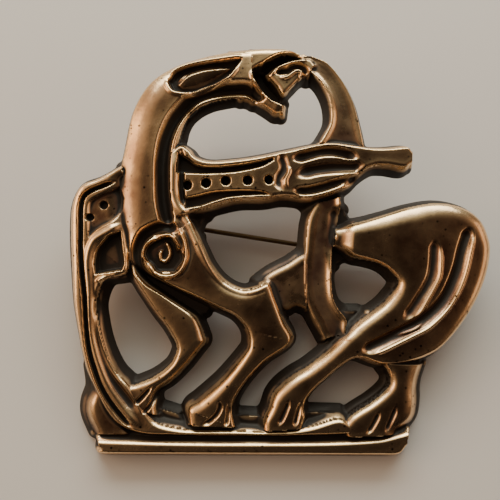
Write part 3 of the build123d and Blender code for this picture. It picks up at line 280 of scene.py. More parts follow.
# Low floors that close the recesses between the limbs: height as a share, then the same four columns
FLOORS = {
    "behind_upright": (0.33, [(10.0, 36.5, 12.6, 35.6), (9.8, 33.0, 13.5, 33.0), (9.5, 28.2, 12.9, 28.6),
        (9.3, 26.6, 11.3, 27.3)]),
    "under_hock": (0.33, [(11.8, 20.7, 14.8, 20.7), (12.2, 19.4, 14.2, 19.4)]),
    "inside_neck": (0.40, [(-13.4, 46.0, -11.8, 45.6), (-13.6, 44.4, -11.0, 43.8),
        (-12.0, 34.0, -7.6, 34.2)]),
    "mouth": (0.40, [(-2.0, 56.5, 3.0, 58.4), (-0.8, 54.0, 6.4, 57.8), (0.8, 51.8, 4.0, 53.6),
        (3.0, 50.6, 3.4, 51.4)]),
    "above_bar": (0.47, [(-21.6, 4.2, -21.6, 2.4), (-10.0, 3.8, -10.0, 2.2), (5.0, 3.8, 5.0, 2.2),
        (20.5, 4.2, 20.5, 3.0)]),
    "shoulder": (0.37, [(-18.0, 27.0, -14.0, 25.4), (-13.0, 21.5, -7.4, 21.4), (-9.2, 19.8, -7.4, 20.2)]),
    "hind_ankle": (0.53, [(17.6, 13.6, 24.4, 15.2), (18.5, 12.4, 23.4, 12.6)]),
    "under_biting_head": (0.33, [(6.6, 38.0, 6.8, 36.0), (8.6, 37.4, 8.4, 35.2), (11.6, 38.4, 11.6, 36.4)]),
    "beside_neck": (0.47, [(-20.2, 41.0, -19.0, 41.0), (-20.0, 25.4, -17.6, 25.4)]),
    "breast_corner": (0.36, [(-9.6, 34.8, -7.2, 35.4), (-9.6, 32.4, -8.1, 33.0), (-9.4, 30.6, -8.6, 31.0)]),
    "first_toes": (0.43, [(-14.0, 6.8, -10.8, 5.8), (-14.0, 4.5, -9.0, 4.2)]),
    "second_toes": (0.43, [(-3.4, 5.8, 1.4, 5.6), (-3.4, 4.0, 1.4, 4.0)]),
    "third_toes": (0.43, [(7.0, 6.3, 12.2, 6.2), (7.0, 4.4, 12.4, 4.4)]),
}

# Beds sunk below the face: depth as a share, then the same four columns
BEDS = {
    "tail_panel": (0.14, [(-20.0, 38.0, -19.2, 36.0), (-22.4, 36.9, -19.4, 34.4), (-24.2, 35.6, -20.4, 32.8),
        (-24.4, 33.0, -22.4, 31.6), (-24.2, 30.6, -23.9, 30.2)]),
    "side_panel": (0.40, [(-21.4, 30.8, -19.4, 31.6), (-22.8, 29.0, -19.0, 29.0), (-23.2, 27.0, -18.7, 27.0),
        (-23.0, 25.2, -19.0, 25.9)]),
    "spiral": (0.26, [(-14.8, 31.0, -12.2, 31.0), (-16.2, 29.2, -11.0, 29.4), (-16.0, 27.4, -10.5, 27.6),
        (-14.6, 25.7, -11.6, 25.8)]),
    "upper_channel": (0.36, [(-11.8, 43.0, -12.0, 39.8), (-10.2, 42.2, -10.3, 39.75),
        (-9.0, 41.4, -8.1, 39.75), (-7.0, 41.15, -6.0, 39.85), (-4.0, 41.45, -3.6, 40.1),
        (-1.4, 41.9, -1.2, 40.6), (0.7, 42.4, 0.6, 41.15), (2.0, 42.8, 2.0, 42.0)]),
    "lower_channel": (0.30, [(-10.9, 36.5, -10.5, 34.7), (-9.0, 36.95, -8.4, 35.05),
        (-6.95, 37.5, -6.4, 35.8), (-4.45, 37.8, -4.5, 36.4), (-1.5, 37.9, -1.5, 36.75),
        (0.6, 37.7, 0.8, 36.9), (1.9, 37.2, 2.2, 36.9)]),
}

# Channels cut in (negative) and seams raised (positive): half width in parts of the chart, height as a
# share of RELIEF_HEIGHT, then the points that the line follows, across and up
LINES = {
    "neck_channel": (1.30, -0.47, [(-12.4, 31.9), (-13.2, 33.6), (-13.75, 36.0), (-13.95, 39.0),
        (-13.95, 42.0), (-13.5, 45.0), (-12.5, 47.6), (-11.0, 49.7), (-9.2, 51.2), (-6.8, 52.1), (-4.4, 52.5),
        (-2.2, 52.6), (-0.6, 51.9), (0.6, 50.9)]),
    "mouth_cleft": (0.80, -0.55, [(0.0, 55.6), (1.2, 56.5), (2.6, 57.3), (4.4, 57.8), (6.3, 57.9)]),
    "mouth": (1.10, -0.57, [(-0.5, 55.6), (-0.2, 54.4), (0.6, 53.0), (1.7, 51.8), (2.9, 51.0)]),
    "head_step": (0.55, -0.24, [(-11.2, 43.6), (-11.2, 41.4), (-11.15, 38.8), (-11.0, 36.6), (-10.6, 35.0)]),
    "brow_left": (0.90, -0.14, [(2.6, 43.2), (3.2, 42.2), (3.4, 40.9), (2.6, 39.2), (3.3, 37.6)]),
    "brow_upper": (1.05, -0.28, [(4.4, 42.4), (6.3, 42.9), (8.6, 43.6), (10.6, 43.75), (12.6, 43.4),
        (14.4, 42.8)]),
    "brow_middle": (1.30, -0.26, [(4.9, 39.9), (7.5, 40.9), (10.5, 41.4), (13.5, 41.5), (15.4, 41.4)]),
    "brow_lower": (0.95, -0.28, [(4.6, 37.9), (6.5, 37.8), (8.8, 38.3), (11.0, 39.0), (13.0, 39.7),
        (14.6, 40.4)]),
    "tail_groove": (0.50, -0.26, [(-20.3, 38.6), (-22.3, 37.8), (-24.0, 37.0), (-24.9, 36.1), (-25.2, 34.4),
        (-25.1, 31.5), (-25.0, 28.5), (-24.7, 25.5), (-24.2, 22.0), (-23.9, 18.5), (-23.4, 15.0),
        (-22.6, 12.4), (-21.6, 10.0), (-20.3, 7.9), (-18.6, 5.9), (-16.8, 4.1)]),
    "tail_inner_groove": (0.85, -0.10, [(-22.9, 23.6), (-22.8, 20.5), (-22.5, 17.6), (-21.7, 14.8),
        (-20.7, 12.4), (-19.3, 10.0), (-17.6, 8.0), (-16.2, 6.4)]),
    "spiral_outer": (1.15, -0.41, [(-11.6, 31.6), (-12.8, 32.2), (-14.4, 32.0), (-16.1, 31.0), (-17.0, 29.4),
        (-17.2, 27.8), (-16.7, 26.2), (-15.3, 24.7), (-13.4, 23.6), (-11.6, 22.5), (-9.8, 21.5), (-8.0, 20.6),
        (-6.4, 20.0)]),
    "haunch_start": (2.00, -0.32, [(12.0, 36.2), (11.9, 34.2), (11.7, 32.0), (11.6, 29.6), (11.9, 27.4),
        (12.3, 26.0)]),
    "haunch_outer_groove": (1.15, -0.21, [(30.4, 33.2), (29.9, 31.6), (29.3, 29.8), (28.7, 27.4),
        (27.9, 25.2), (26.8, 23.0), (25.3, 21.2), (23.2, 19.5), (20.8, 18.2), (18.4, 17.0), (16.2, 15.9),
        (14.6, 15.2)]),
    "haunch_outer_line": (0.45, 0.10, [(31.0, 32.4), (30.6, 30.2), (29.9, 27.2), (29.1, 24.8), (27.9, 22.5),
        (26.4, 20.5), (24.3, 18.6), (22.2, 17.5), (20.2, 16.5), (18.2, 15.5), (16.2, 14.6)]),
    "haunch_inner_groove": (0.95, -0.13, [(25.2, 31.2), (25.1, 29.6), (25.0, 27.8), (24.7, 26.0),
        (24.0, 24.4), (23.0, 22.8), (21.8, 21.0), (20.6, 19.6)]),
    "haunch_inner_line": (0.42, 0.09, [(26.0, 30.4), (26.1, 28.2), (25.9, 26.0), (25.2, 24.5), (24.3, 22.9),
        (23.2, 21.0), (22.2, 19.8)]),
    "haunch_foot_line": (0.45, 0.08, [(19.4, 17.3), (21.0, 17.9), (22.4, 18.5), (23.8, 19.5)]),
    "curl_channel": (0.70, -0.22, [(1.9, 54.9), (2.8, 55.3), (3.8, 55.5), (4.6, 56.1), (5.6, 56.1),
        (6.4, 55.6), (6.6, 54.6)]),
    "second_toe_outer": (0.50, -0.13, [(-5.2, 8.4), (-5.0, 7.4), (-5.4, 6.4), (-6.4, 5.4), (-7.6, 4.8)]),
    "second_toe_inner": (0.45, -0.12, [(-3.9, 8.2), (-3.8, 6.8), (-4.0, 5.4), (-4.3, 4.6)]),
    "third_toe_outer": (0.50, -0.12, [(4.6, 8.6), (4.2, 7.2), (3.6, 5.8), (3.0, 4.8)]),
    "third_toe_inner": (0.50, -0.12, [(6.3, 8.4), (6.0, 7.0), (5.6, 5.6), (5.4, 4.6)]),
    "fourth_toe_outer": (0.50, -0.12, [(17.4, 7.0), (16.9, 5.8), (16.2, 4.6), (15.4, 3.6)]),
    "fourth_toe_inner": (0.50, -0.12, [(19.8, 7.8), (19.3, 6.4), (18.7, 5.0), (18.2, 3.9)]),
    "first_toe_outer": (0.45, -0.14, [(-14.4, 10.2), (-15.3, 9.0), (-16.2, 8.0), (-17.0, 7.4)]),
    "first_toe_inner": (0.45, -0.14, [(-13.7, 9.4), (-14.3, 8.0), (-15.0, 6.9), (-15.8, 6.2)]),
    "breast_seam": (1.00, 0.17, [(-12.4, 43.6), (-12.35, 40.0), (-12.25, 37.0), (-11.6, 35.2), (-10.5, 33.9),
        (-9.6, 32.5), (-8.9, 31.0), (-7.9, 28.8), (-6.7, 26.8), (-5.4, 25.3), (-4.1, 24.3), (-2.6, 23.7),
        (-1.2, 23.6), (0.2, 24.0), (1.4, 24.6)]),
    "tail_seam": (0.80, 0.12, [(-19.3, 32.6), (-21.1, 31.4), (-22.1, 30.8), (-23.0, 30.1), (-23.5, 29.2),
        (-23.8, 28.0), (-23.85, 26.5), (-23.65, 24.0), (-23.4, 20.5), (-23.15, 17.5), (-22.6, 15.0),
        (-21.9, 12.9), (-20.8, 10.4), (-19.3, 8.2), (-17.6, 6.2), (-15.6, 4.4)]),
    "panel_foot": (0.50, 0.10, [(-22.9, 24.3), (-21.8, 24.6), (-20.4, 25.0), (-19.2, 25.3)]),
    "spiral_outer_turn": (0.52, 0.22, [(-11.4, 32.0), (-10.75, 31.0), (-10.35, 29.9), (-10.1, 28.3),
        (-10.4, 26.9), (-11.0, 25.9), (-12.0, 25.3), (-13.3, 25.2), (-14.1, 25.5), (-14.8, 26.3),
        (-15.4, 27.4)]),
    "spiral_second_turn": (0.50, 0.22, [(-15.4, 27.2), (-16.2, 27.9), (-16.1, 28.8), (-15.6, 29.6),
        (-14.7, 30.3), (-13.5, 30.75), (-12.5, 30.8), (-11.9, 30.3), (-11.5, 29.4), (-11.3, 28.4)]),
    "spiral_drop": (0.45, 0.18, [(-13.4, 30.1), (-12.8, 29.5), (-12.5, 28.4), (-13.0, 27.4), (-13.7, 27.5),
        (-13.9, 28.4), (-13.4, 29.0)]),
    "curl_rim": (0.40, 0.08, [(1.2, 54.4), (1.8, 55.2), (2.8, 56.0), (4.0, 56.6), (5.4, 56.9), (6.8, 57.0)]),
    "curl_turn": (0.40, 0.14, [(2.5, 54.3), (3.6, 54.3), (4.4, 54.9), (5.1, 55.3), (5.7, 55.0), (5.7, 54.2),
        (5.2, 53.3), (4.4, 52.5)]),
    "jaw_seam": (0.45, 0.07, [(-1.5, 55.3), (-1.5, 54.2), (-0.8, 53.2), (0.1, 52.2), (1.0, 51.3),
        (2.2, 50.6)]),
    "eye_upper_rim": (0.40, 0.06, [(-13.6, 54.0), (-12.6, 55.1), (-11.0, 55.85), (-9.0, 56.35), (-6.75, 56.7),
        (-4.2, 57.1), (-2.6, 57.2)]),
    "eye_lower_rim": (0.45, 0.09, [(-13.8, 53.4), (-13.6, 52.4), (-12.9, 51.5), (-11.5, 51.2), (-10.0, 51.25),
        (-8.0, 52.0), (-6.4, 52.8), (-4.9, 53.7), (-3.9, 54.8), (-3.2, 55.9)]),
    "eye_ridge": (0.40, 0.09, [(-12.4, 53.0), (-11.4, 54.0), (-10.35, 54.6), (-8.8, 55.2), (-6.8, 55.6),
        (-4.7, 55.8)]),
    "brow_spine": (0.45, 0.07, [(3.7, 41.6), (4.2, 40.6), (3.7, 39.2), (4.1, 37.9)]),
}

# Round pits drilled with a punch: across, up, radius in parts, depth as a share of RELIEF_HEIGHT
PITS = [
    (-22.1, 35.1, 0.90, 0.33),
    (-23.9, 33.3, 0.75, 0.30),
    (-10.4, 38.2, 0.85, 0.40),
    (-7.7, 38.6, 0.85, 0.40),
    (-4.9, 39.0, 0.85, 0.40),
    (-1.75, 39.15, 0.85, 0.40),
    (1.3, 39.3, 0.80, 0.40),
]

# The almond eye, sunk below the head, and the lens that stands in it: the four columns of a band
EYE_DEPTH = 0.37
EYE = [
    (-13.5, 53.6, -13.6, 52.9), (-12.6, 55.0, -12.7, 51.6), (-10.5, 55.9, -10.2, 51.4),
    (-8.2, 56.35, -8.0, 52.2), (-5.8, 56.7, -6.0, 53.1), (-3.8, 57.0, -4.4, 54.3),
    (-2.8, 57.0, -3.2, 56.0)]
LENS_RISE = 0.27
LENS = [
    (-12.3, 53.0, -12.2, 52.7), (-10.8, 54.4, -11.2, 52.0), (-8.8, 55.2, -9.1, 52.4),
    (-6.8, 55.6, -6.6, 53.6), (-4.7, 55.85, -4.5, 55.3)]

# Soft lights round the brooch, in metres: place, width and height, colour
SOFTBOXES = {
    "far": ((0.0, 0.30, 0.17), (0.50, 0.12), (0.95, 0.98, 0.86)),
    "left": ((-0.30, 0.04, 0.14), (0.26, 0.12), (1.0, 0.68, 0.40)),
    "right": ((0.30, 0.02, 0.12), (0.26, 0.12), (1.0, 0.70, 0.46)),
}

# The room: its light everywhere, then glows: towards, power that narrows them, colour
ROOM_BASE = (0.022, 0.018, 0.017, 1)
GLOWS = (
    ((0.0, 0.82, 0.57), 10.0, (1.8, 1.85, 1.45, 1)),
    ((-0.87, 0.25, 0.43), 4.5, (1.30, 0.90, 0.58, 1)),
    ((0.90, 0.10, 0.42), 9.0, (0.38, 0.23, 0.14, 1)),
)

FLOOR_EDGE = Edge(0.45, 0.2, 0.02)
SOLE_SHARE = 0.23        # no channel goes deeper than this share of RELIEF_HEIGHT above the back
CURVE_STEPS = 6          # straight pieces of an edge between two rows of a table


def to_plate(points):
    """Points of the chart in millimetres on the plate."""
    return np.asarray(points, float) * (PART_ACROSS, PART_UP)


def smooth(points):
    """A smooth line through the points: on each stretch the cubic whose slopes join its neighbours."""
    p = to_plate(points)
    if len(p) < 3:
        share = np.linspace(0, 1, CURVE_STEPS + 1)[:, None]
        return p[0] * (1 - share) + p[-1] * share
    ends = np.vstack([2 * p[0] - p[1], p, 2 * p[-1] - p[-2]])
    a, b, c, d = ends[:-3], ends[1:-2], ends[2:-1], ends[3:]
    t = (np.arange(CURVE_STEPS) / CURVE_STEPS)[:, None, None]
    cubic = 0.5 * (2 * b + (c - a) * t + (2 * a - 5 * b + 4 * c - d) * t**2
                   + (3 * b - a - 3 * c + d) * t**3)
    return np.vstack([cubic.transpose(1, 0, 2).reshape(-1, 2), p[-1]])


def distance(x, y, line):
    """Distance from each point to a line of straight pieces, and the row of its table nearest there."""
    lengths = np.hypot(*np.diff(line, axis=0).T)
    nearest = np.full(x.shape, np.inf)
    row = np.zeros(x.shape)
    for k in np.flatnonzero(lengths > 0):
        (ax, ay), (bx, by) = line[k], line[k + 1]
        t = np.clip(((x - ax) * (bx - ax) + (y - ay) * (by - ay)) / lengths[k]**2, 0, 1)
        gap = np.hypot(x - ax - t * (bx - ax), y - ay - t * (by - ay))
        closer = gap < nearest
        nearest = np.where(closer, gap, nearest)
        row = np.where(closer, (k + t) / CURVE_STEPS, row)
    return nearest, row


def within(x, y, outline):
    """True where a point lies inside a closed outline, by counting the sides that it crosses."""
    result = np.zeros(x.shape, bool)
    for (ax, ay), (bx, by) in zip(np.roll(outline, 1, axis=0), outline):
        if ay != by:
            crossed = ((by > y) != (ay > y)) & (x < (ax - bx) * (y - by) / (ay - by) + bx)
            result ^= crossed
    return result


def round_min(a, b, size):
    """The lower of two heights, with their corner rounded over size."""
    return np.minimum(a, b) - np.maximum(size - np.abs(a - b), 0)**2 / (4 * size)


def joined(a, b):
    """The higher of two heights, with the corner between two walls filled over SEAM_ROUND.

    The filling fades out from 0.6 to 0.8 of RELIEF_HEIGHT, so that tops which overlap stay level.
    """
    higher = np.maximum(a, b)
    fill = np.maximum(SEAM_ROUND - np.abs(a - b), 0)**2 / (4 * SEAM_ROUND)
    return higher + fill * np.clip(4 - 5 * higher / RELIEF_HEIGHT, 0, 1)


def near(x, y, line, reach):
    """True for the points inside the box round a line, made larger by reach on every side."""
    low, high = line.min(axis=0) - reach, line.max(axis=0) + reach
    return (x > low[0]) & (x < high[0]) & (y > low[1]) & (y < high[1])


def at_row(value, row):
    """A size of a band at a row of its table, between whole rows in proportion."""
    values = np.atleast_1d(np.asarray(value, float))
    return values[0] if len(values) == 1 else np.interp(row, np.arange(len(values)), values)


def strip(x, y, sections):
    """For each point: whether it is in the strip, its distance and row at the left and right edges.

    The last of the four results is its distance from the nearer end.
    """
    rows = np.asarray(sections, float)
    left, right = smooth(rows[:, :2]), smooth(rows[:, 2:])
    inside = within(x, y, np.vstack([left, right[::-1]]))
    ends = np.minimum(distance(x, y, np.vstack([left[0], right[0]]))[0],
                      distance(x, y, np.vstack([left[-1], right[-1]]))[0])
    return inside, distance(x, y, left), distance(x, y, right), ends


def band_height(x, y, band):
    """Height of one band, with NO_METAL where it doesn't reach.

    At the share s of the way across, the hollow is 1 - |2 s - 1| to the power of the brim. Each shoulder
    falls off by the square of the share of its width that is left. Two leaning walls cut the top.
    """
    result = np.full(x.shape, NO_METAL)
    close = near(x, y, to_plate(np.asarray(band.sections).reshape(-1, 2)), WALL_REACH)
    inside, (from_left, left_row), (from_right, right_row), ends = strip(x[close], y[close], band.sections)
    across = from_left / (from_left + from_right + LEAST_GAP)
    row = left_row * (1 - across) + right_row * across
    high = RELIEF_HEIGHT * at_row(band.height, row)
    top = high - RELIEF_HEIGHT * at_row(band.hollow, row) * (1 - np.abs(2 * across - 1)**band.brim)
    walls = []
    for gap, edge, place in ((from_left, band.left, left_row), (from_right, band.right, right_row)):
        drop = RELIEF_HEIGHT * at_row(edge.drop, place)
        rolled = np.minimum(gap / (at_row(edge.roll, place) * PART_ACROSS), 1)
        top = top - drop * np.where(inside, (1 - rolled)**2, 1)
        crest = high - drop
        run = at_row(edge.run, place) * DRAFT_RUN
        walls.append(crest + np.where(inside, gap, -gap) * crest / run)
    end_wall = high * (1 - ends / DRAFT_RUN)
    inner = round_min(round_min(top, walls[0], EDGE_ROUND), walls[1], EDGE_ROUND)
    outer = round_min(top, np.maximum(np.maximum(*walls), end_wall), EDGE_ROUND)
    result[close] = np.where(inside, inner, outer)
    return result


def eased(share):
    """A share from 0 to 1 along a smooth step, 3 s^2 - 2 s^3, which starts and ends level."""
    share = np.clip(share, 0, 1)
    return share * share * (3 - 2 * share)


def line_height(x, y, half_width, height, points):
    """Height of a seam or channel: (1 - s^2)^2 at the share s of its half width.

    At its ends it fades out and is half as wide.
    """
    result = np.zeros(x.shape)
    close = near(x, y, to_plate(points), half_width * PART_ACROSS + LINE_REACH)
    gap, row = distance(x[close], y[close], smooth(points))
    fade = eased(np.minimum(row, len(points) - 1 - row) / FADE_ROWS + FADE_START)
    reach = np.clip(gap / (half_width * PART_ACROSS * (0.5 + 0.5 * fade)), 0, 1)
    result[close] = RELIEF_HEIGHT * height * fade * (1 - reach**2)**2
    return result


def cast_face(x, y):
    """Height of the cast face above the back plane.

    The highest band or floor wins, with filled corners. Then the deepest bed, channel or pit is cut, and
    the seams are added, with the eye's lens, which slopes from its left edge down to its right one.
    Below zero height there is no metal.
    """
    metal = np.full(x.shape, NO_METAL)
    floors = [Band(height, 0, 2, FLOOR_EDGE, FLOOR_EDGE, sections) for height, sections in FLOORS.values()]
    for band in [*BANDS.values(), *floors]:
        metal = joined(metal, band_height(x, y, band))

    cut, raised = np.zeros(x.shape), np.zeros(x.shape)
    for depth, sections in [(EYE_DEPTH, EYE), *BEDS.values()]:
        inside, (from_left, _), (from_right, _), ends = strip(x, y, sections)
        bowl = eased(BOWL * np.minimum(np.minimum(from_left, from_right), ends + 0.1))
        cut = np.minimum(cut, np.where(inside, -depth * RELIEF_HEIGHT * bowl, 0))
    for half_width, height, points in LINES.values():
        shape = line_height(x, y, half_width, height, points)
        cut, raised = np.minimum(cut, shape), raised + np.maximum(shape, 0)
    for across, up, radius, depth in PITS:
        gap = np.hypot(x - across * PART_ACROSS, y - up * PART_UP) / (radius * PART_ACROSS)
        cut = np.minimum(cut, -depth * RELIEF_HEIGHT * eased(BOWL - BOWL * gap))
    inside, (from_left, _), (from_right, _), _ = strip(x, y, LENS)
    lens = from_right / (from_left + from_right + LEAST_GAP) * eased(2 * from_left)
    raised = raised + np.where(inside, LENS_RISE * RELIEF_HEIGHT * lens, 0)

    depth = np.clip(metal / (CUT_FADE * RELIEF_HEIGHT), 0, 1)
    carved = np.maximum(metal + (cut + raised) * depth, np.minimum(metal, SOLE_SHARE * RELIEF_HEIGHT))
    return np.where(metal > 0, carved, metal)


def moved_onto(x, y, value, step, limit):
    """Lattice points moved down the slope of value onto its zero line, where that is nearer than limit."""
    slope_y, slope_x = np.gradient(value, step)
    steep = slope_x**2 + slope_y**2 + LEAST
    close = np.abs(value) / np.sqrt(steep) < limit
    moved_x = np.where(close, x - value / steep * slope_x, x)
    moved_y = np.where(close, y - value / steep * slope_y, y)
    return moved_x, moved_y, close


def blurred(field, size, step):
    """A field on the lattice averaged over a bell curve whose spread is size."""
    fy, fx = np.fft.fftfreq(field.shape[0], step)[:, None], np.fft.rfftfreq(field.shape[1], step)[None, :]
    bell = np.exp(-2 * (math.pi * size)**2 * (fx**2 + fy**2))
    return np.fft.irfft2(np.fft.rfft2(field) * bell, field.shape)


def stand_out(height, size, step):
    """How far each point of the metal stands above the mean height of the metal round it.

    Depths fade out where less of the ground round the point is metal, so a rolled outer edge is no recess.
    Returns the rise and the share of that ground that is metal.
    """
    share = blurred((height > 0).astype(float), size, step)
    mean = blurred(np.maximum(height, 0), size, step) / np.maximum(share, 0.02)
    rise = np.where(height > 0, height - mean, 0)
    return np.where(rise < 0, rise * np.clip(2 * share - 1, 0, 1), rise), share


def cut_out(height):
    """Triangles of the lattice cells where height is above zero, cut where they cross it.

    Each cell is split by its flatter diagonal. A side whose ends differ in sign gets a point at the share
    h / (h - h') of its way. With one corner in, the triangle keeps that corner and two such points; with
    two in, it keeps a quadrilateral, as two triangles. Returns triangles, crossing sides and their shares.
    """
    rows, columns = height.shape
    ids = np.arange(rows * columns).reshape(rows, columns)
    a, b, c, d = ids[:-1, :-1].ravel(), ids[:-1, 1:].ravel(), ids[1:, 1:].ravel(), ids[1:, :-1].ravel()
    h = height.ravel()
    flatter = np.abs(h[a] - h[c]) <= np.abs(h[b] - h[d])
    corners = np.concatenate([np.stack([a, b, np.where(flatter, c, d)], 1),
                              np.stack([np.where(flatter, a, b), c, d], 1)])
    inside = h[corners] >= 0
    corners, inside = corners[(h[corners] > 0).any(axis=1)], inside[(h[corners] > 0).any(axis=1)]
    sides = np.stack([corners, np.roll(corners, -1, axis=1)], 2)
    crosses = inside != np.roll(inside, -1, axis=1)
    keys = np.sort(sides, axis=2)
    codes = keys[..., 0] * h.size + keys[..., 1]
    unique, place = np.unique(codes[crosses], return_inverse=True)
    crossing = np.full(codes.shape, -1)
    crossing[crosses] = h.size + place
    first, second = unique // h.size, unique % h.size
    share = h[first] / (h[first] - h[second])
    count = inside.sum(axis=1)
    triangles = [corners[count == 3]]
    for k in range(3):
        after, last = (k + 1) % 3, (k + 2) % 3
        alone = (count == 1) & inside[:, k]
        triangles.append(np.stack([corners[alone, k], crossing[alone, k], crossing[alone, last]], 1))
        missing = (count == 2) & ~inside[:, k]
        v1, v2 = corners[missing, after], corners[missing, last]
        e1, e2 = crossing[missing, k], crossing[missing, last]
        triangles += [np.stack([v1, v2, e2], 1), np.stack([v1, e2, e1], 1)]
    return np.concatenate(triangles), first, second, share


def mesh_object(name, points, triangles, fields=None, sharp=50.0, slots=None, corners=None):
    """A smooth-shaded mesh object with float attributes on its points and sharp edges over an angle.

    The slots, if given, are the numbers of the faces' materials, and corners the normals at their corners.
    """
    mesh = bpy.data.meshes.new(name)
    mesh.vertices.add(len(points))
    mesh.vertices.foreach_set("co", np.ascontiguousarray(points, np.float32).ravel())
    mesh.loops.add(triangles.size)
    mesh.loops.foreach_set("vertex_index", np.ascontiguousarray(triangles, np.int32).ravel())
    mesh.polygons.add(len(triangles))
    width = triangles.shape[1]
    mesh.polygons.foreach_set("loop_start", np.arange(len(triangles), dtype=np.int32) * width)
    mesh.update(calc_edges=True)
    mesh.validate()
    mesh.polygons.foreach_set("use_smooth", np.ones(len(mesh.polygons), bool))
    if slots is not None:
        mesh.polygons.foreach_set("material_index", np.ascontiguousarray(slots, np.int32))
    mesh.set_sharp_from_angle(angle=math.radians(sharp))
    if corners is not None:
        mesh.normals_split_custom_set(corners.tolist())
    for key, values in (fields or {}).items():
        mesh.attributes.new(key, "FLOAT", "POINT").data.foreach_set("value", np.asarray(values, np.float32))
    thing = bpy.data.objects.new(name, mesh)
    bpy.context.scene.collection.objects.link(thing)
    return thing


class Lean:
    """The plate's own directions in the shared frame: across, up the plate and out of the face."""

    across = np.array([1.0, 0.0, 0.0])
    up = np.array([0.0, math.cos(LEAN), math.sin(LEAN)])
    out = np.array([0.0, -math.sin(LEAN), math.cos(LEAN)])


def plate_points(x, y, height, left, low):
    """Plate coordinates in the shared frame: the outline's left and low sides lie on the solid's box."""
    start = np.array([PLATE_LOW[0], PLATE_LOW[1], 0.0])
    return start + MM * (np.outer(x - left, Lean.across) + np.outer(y - low, Lean.up)
                         + np.outer(height, Lean.out))


def casting_surface(step):
    """The pierced plate: the height of the cast face over a lattice, and a flat back under it.

    Its points also say how far they are ridge, recess, high, deep and steep, each as a share.
    """
    across, up = (np.arange(start * part, end * part, step)
                  for (start, end), part in zip(LATTICE, (PART_ACROSS, PART_UP)))
    x, y = np.meshgrid(across, up)
    height = cast_face(x, y)
    new_x, new_y, on_edge = moved_onto(x, y, height, step, EDGE_PULL * step)
    moved = np.where(on_edge, 0.0, cast_face(new_x, new_y))

    fine, _ = stand_out(height, FINE_SPREAD, step)
    broad, share_metal = stand_out(height, BROAD_SPREAD, step)
    slope_y, slope_x = np.gradient(np.maximum(height, 0), step)
    fields = {
        "ridge": np.clip(fine / FINE_RISE, 0, 1),
        "recess": np.clip(-fine / FINE_RISE, 0, 1),
        "high": np.clip(0.5 + broad / BROAD_RISE + OPEN_GROUND * (1 - share_metal), 0, 1),
        "depth": np.clip(1 - height / RELIEF_HEIGHT, 0, 1),
        "steep": np.clip(np.hypot(slope_x, slope_y) / STEEPEST, 0, 1),
    }
    triangles, first, second, share = cut_out(moved)

    def along(values):
        values = values.ravel()
        return np.concatenate([values, values[first] + share * (values[second] - values[first])])

    used, compact = np.unique(triangles, return_inverse=True)
    triangles = compact.reshape(-1, 3)
    px, py, pz = along(new_x)[used], along(new_y)[used], np.maximum(along(moved)[used], 0)
    fields = {key: along(values)[used] for key, values in fields.items()}
    back = flat_back(px, py, triangles)
    points = plate_points(px, py, pz, px.min(), py.min())
    points = np.clip(points, np.array(PLATE_LOW), np.array(PLATE_HIGH))
    behind = np.concatenate([np.zeros(len(triangles), int), np.ones(len(back), int)])
    corners = np.concatenate([face_normals(px, py)[triangles.ravel()], np.tile(-Lean.out, (back.size, 1))])
    return points, np.concatenate([triangles, back]), fields, behind, corners


def face_normals(x, y):
    """Outward directions of the cast face, (-dh/dx, -dh/dy, 1), from heights a short way to each side."""
    slope_x = (cast_face(x + SLOPE_REACH, y) - cast_face(x - SLOPE_REACH, y)) / (2 * SLOPE_REACH)
    slope_y = (cast_face(x, y + SLOPE_REACH) - cast_face(x, y - SLOPE_REACH)) / (2 * SLOPE_REACH)
    normal = np.outer(-slope_x, Lean.across) + np.outer(-slope_y, Lean.up) + Lean.out
    return normal / np.linalg.norm(normal, axis=1)[:, None]


def flat_back(x, y, triangles):
    """Triangles of the flat back, drawn between the free sides of the face's triangles.

    A triangle is metal where it lies to the left of a free side, and a gap where it lies to the right.
    One that touches no free side is metal where the cast face over its middle is above zero.
    """
    sides = np.stack([triangles, np.roll(triangles, -1, axis=1)], 2).reshape(-1, 2)
    codes = sides[:, 0] * len(x) + sides[:, 1]
    free = ~np.isin(codes, sides[:, 1] * len(x) + sides[:, 0])
    rim, ends = np.unique(sides[free], return_inverse=True)
    ends = ends.reshape(-1, 2)
    flat = np.stack([x[rim], y[rim]], 1)
    _, _, cells, origin, _, _ = geometry.delaunay_2d_cdt(flat.tolist(), ends.tolist(), [], 1, 1e-6)
    origin = np.array([names[0] for names in origin])
    cells = origin[np.array(cells)]
    legs = np.stack([cells, np.roll(cells, -1, axis=1)], 2)
    free_codes = ends[:, 0] * len(rim) + ends[:, 1]
    metal_side = np.isin(legs[..., 0] * len(rim) + legs[..., 1], free_codes).any(axis=1)
    gap_side = np.isin(legs[..., 1] * len(rim) + legs[..., 0], free_codes).any(axis=1)
    middle = flat[cells].mean(axis=1)
    solid = metal_side | (~gap_side & (cast_face(middle[:, 0], middle[:, 1]) > 0))
    return rim[cells[solid]][:, ::-1]


def hinge_directions():
    """The pin's own directions in the shared frame: along the pin, along the rivet, out of the face."""
    rivet = np.array(HINGE["axis"]) / np.linalg.norm(HINGE["axis"])
    along = np.cross(rivet, Lean.out)
    return along, rivet, Lean.out


def rings_mesh(rings, open_ended):
    """Rings of equally many points joined in order by quadrilaterals, the last to the first unless open."""
    count, size = rings.shape[:2]
    ids = np.arange(count * size).reshape(count, size)
    after = np.roll(ids, -1, axis=1)
    ahead = np.roll(ids, -1, axis=0)
    last = count - 1 if open_ended else count
    quads = np.stack([ids[:last], after[:last], np.roll(ahead, -1, axis=1)[:last], ahead[:last]], 2)
    triangles = np.concatenate([quads[..., [0, 1, 2]].reshape(-1, 3), quads[..., [0, 2, 3]].reshape(-1, 3)])
    return rings.reshape(-1, 3), triangles


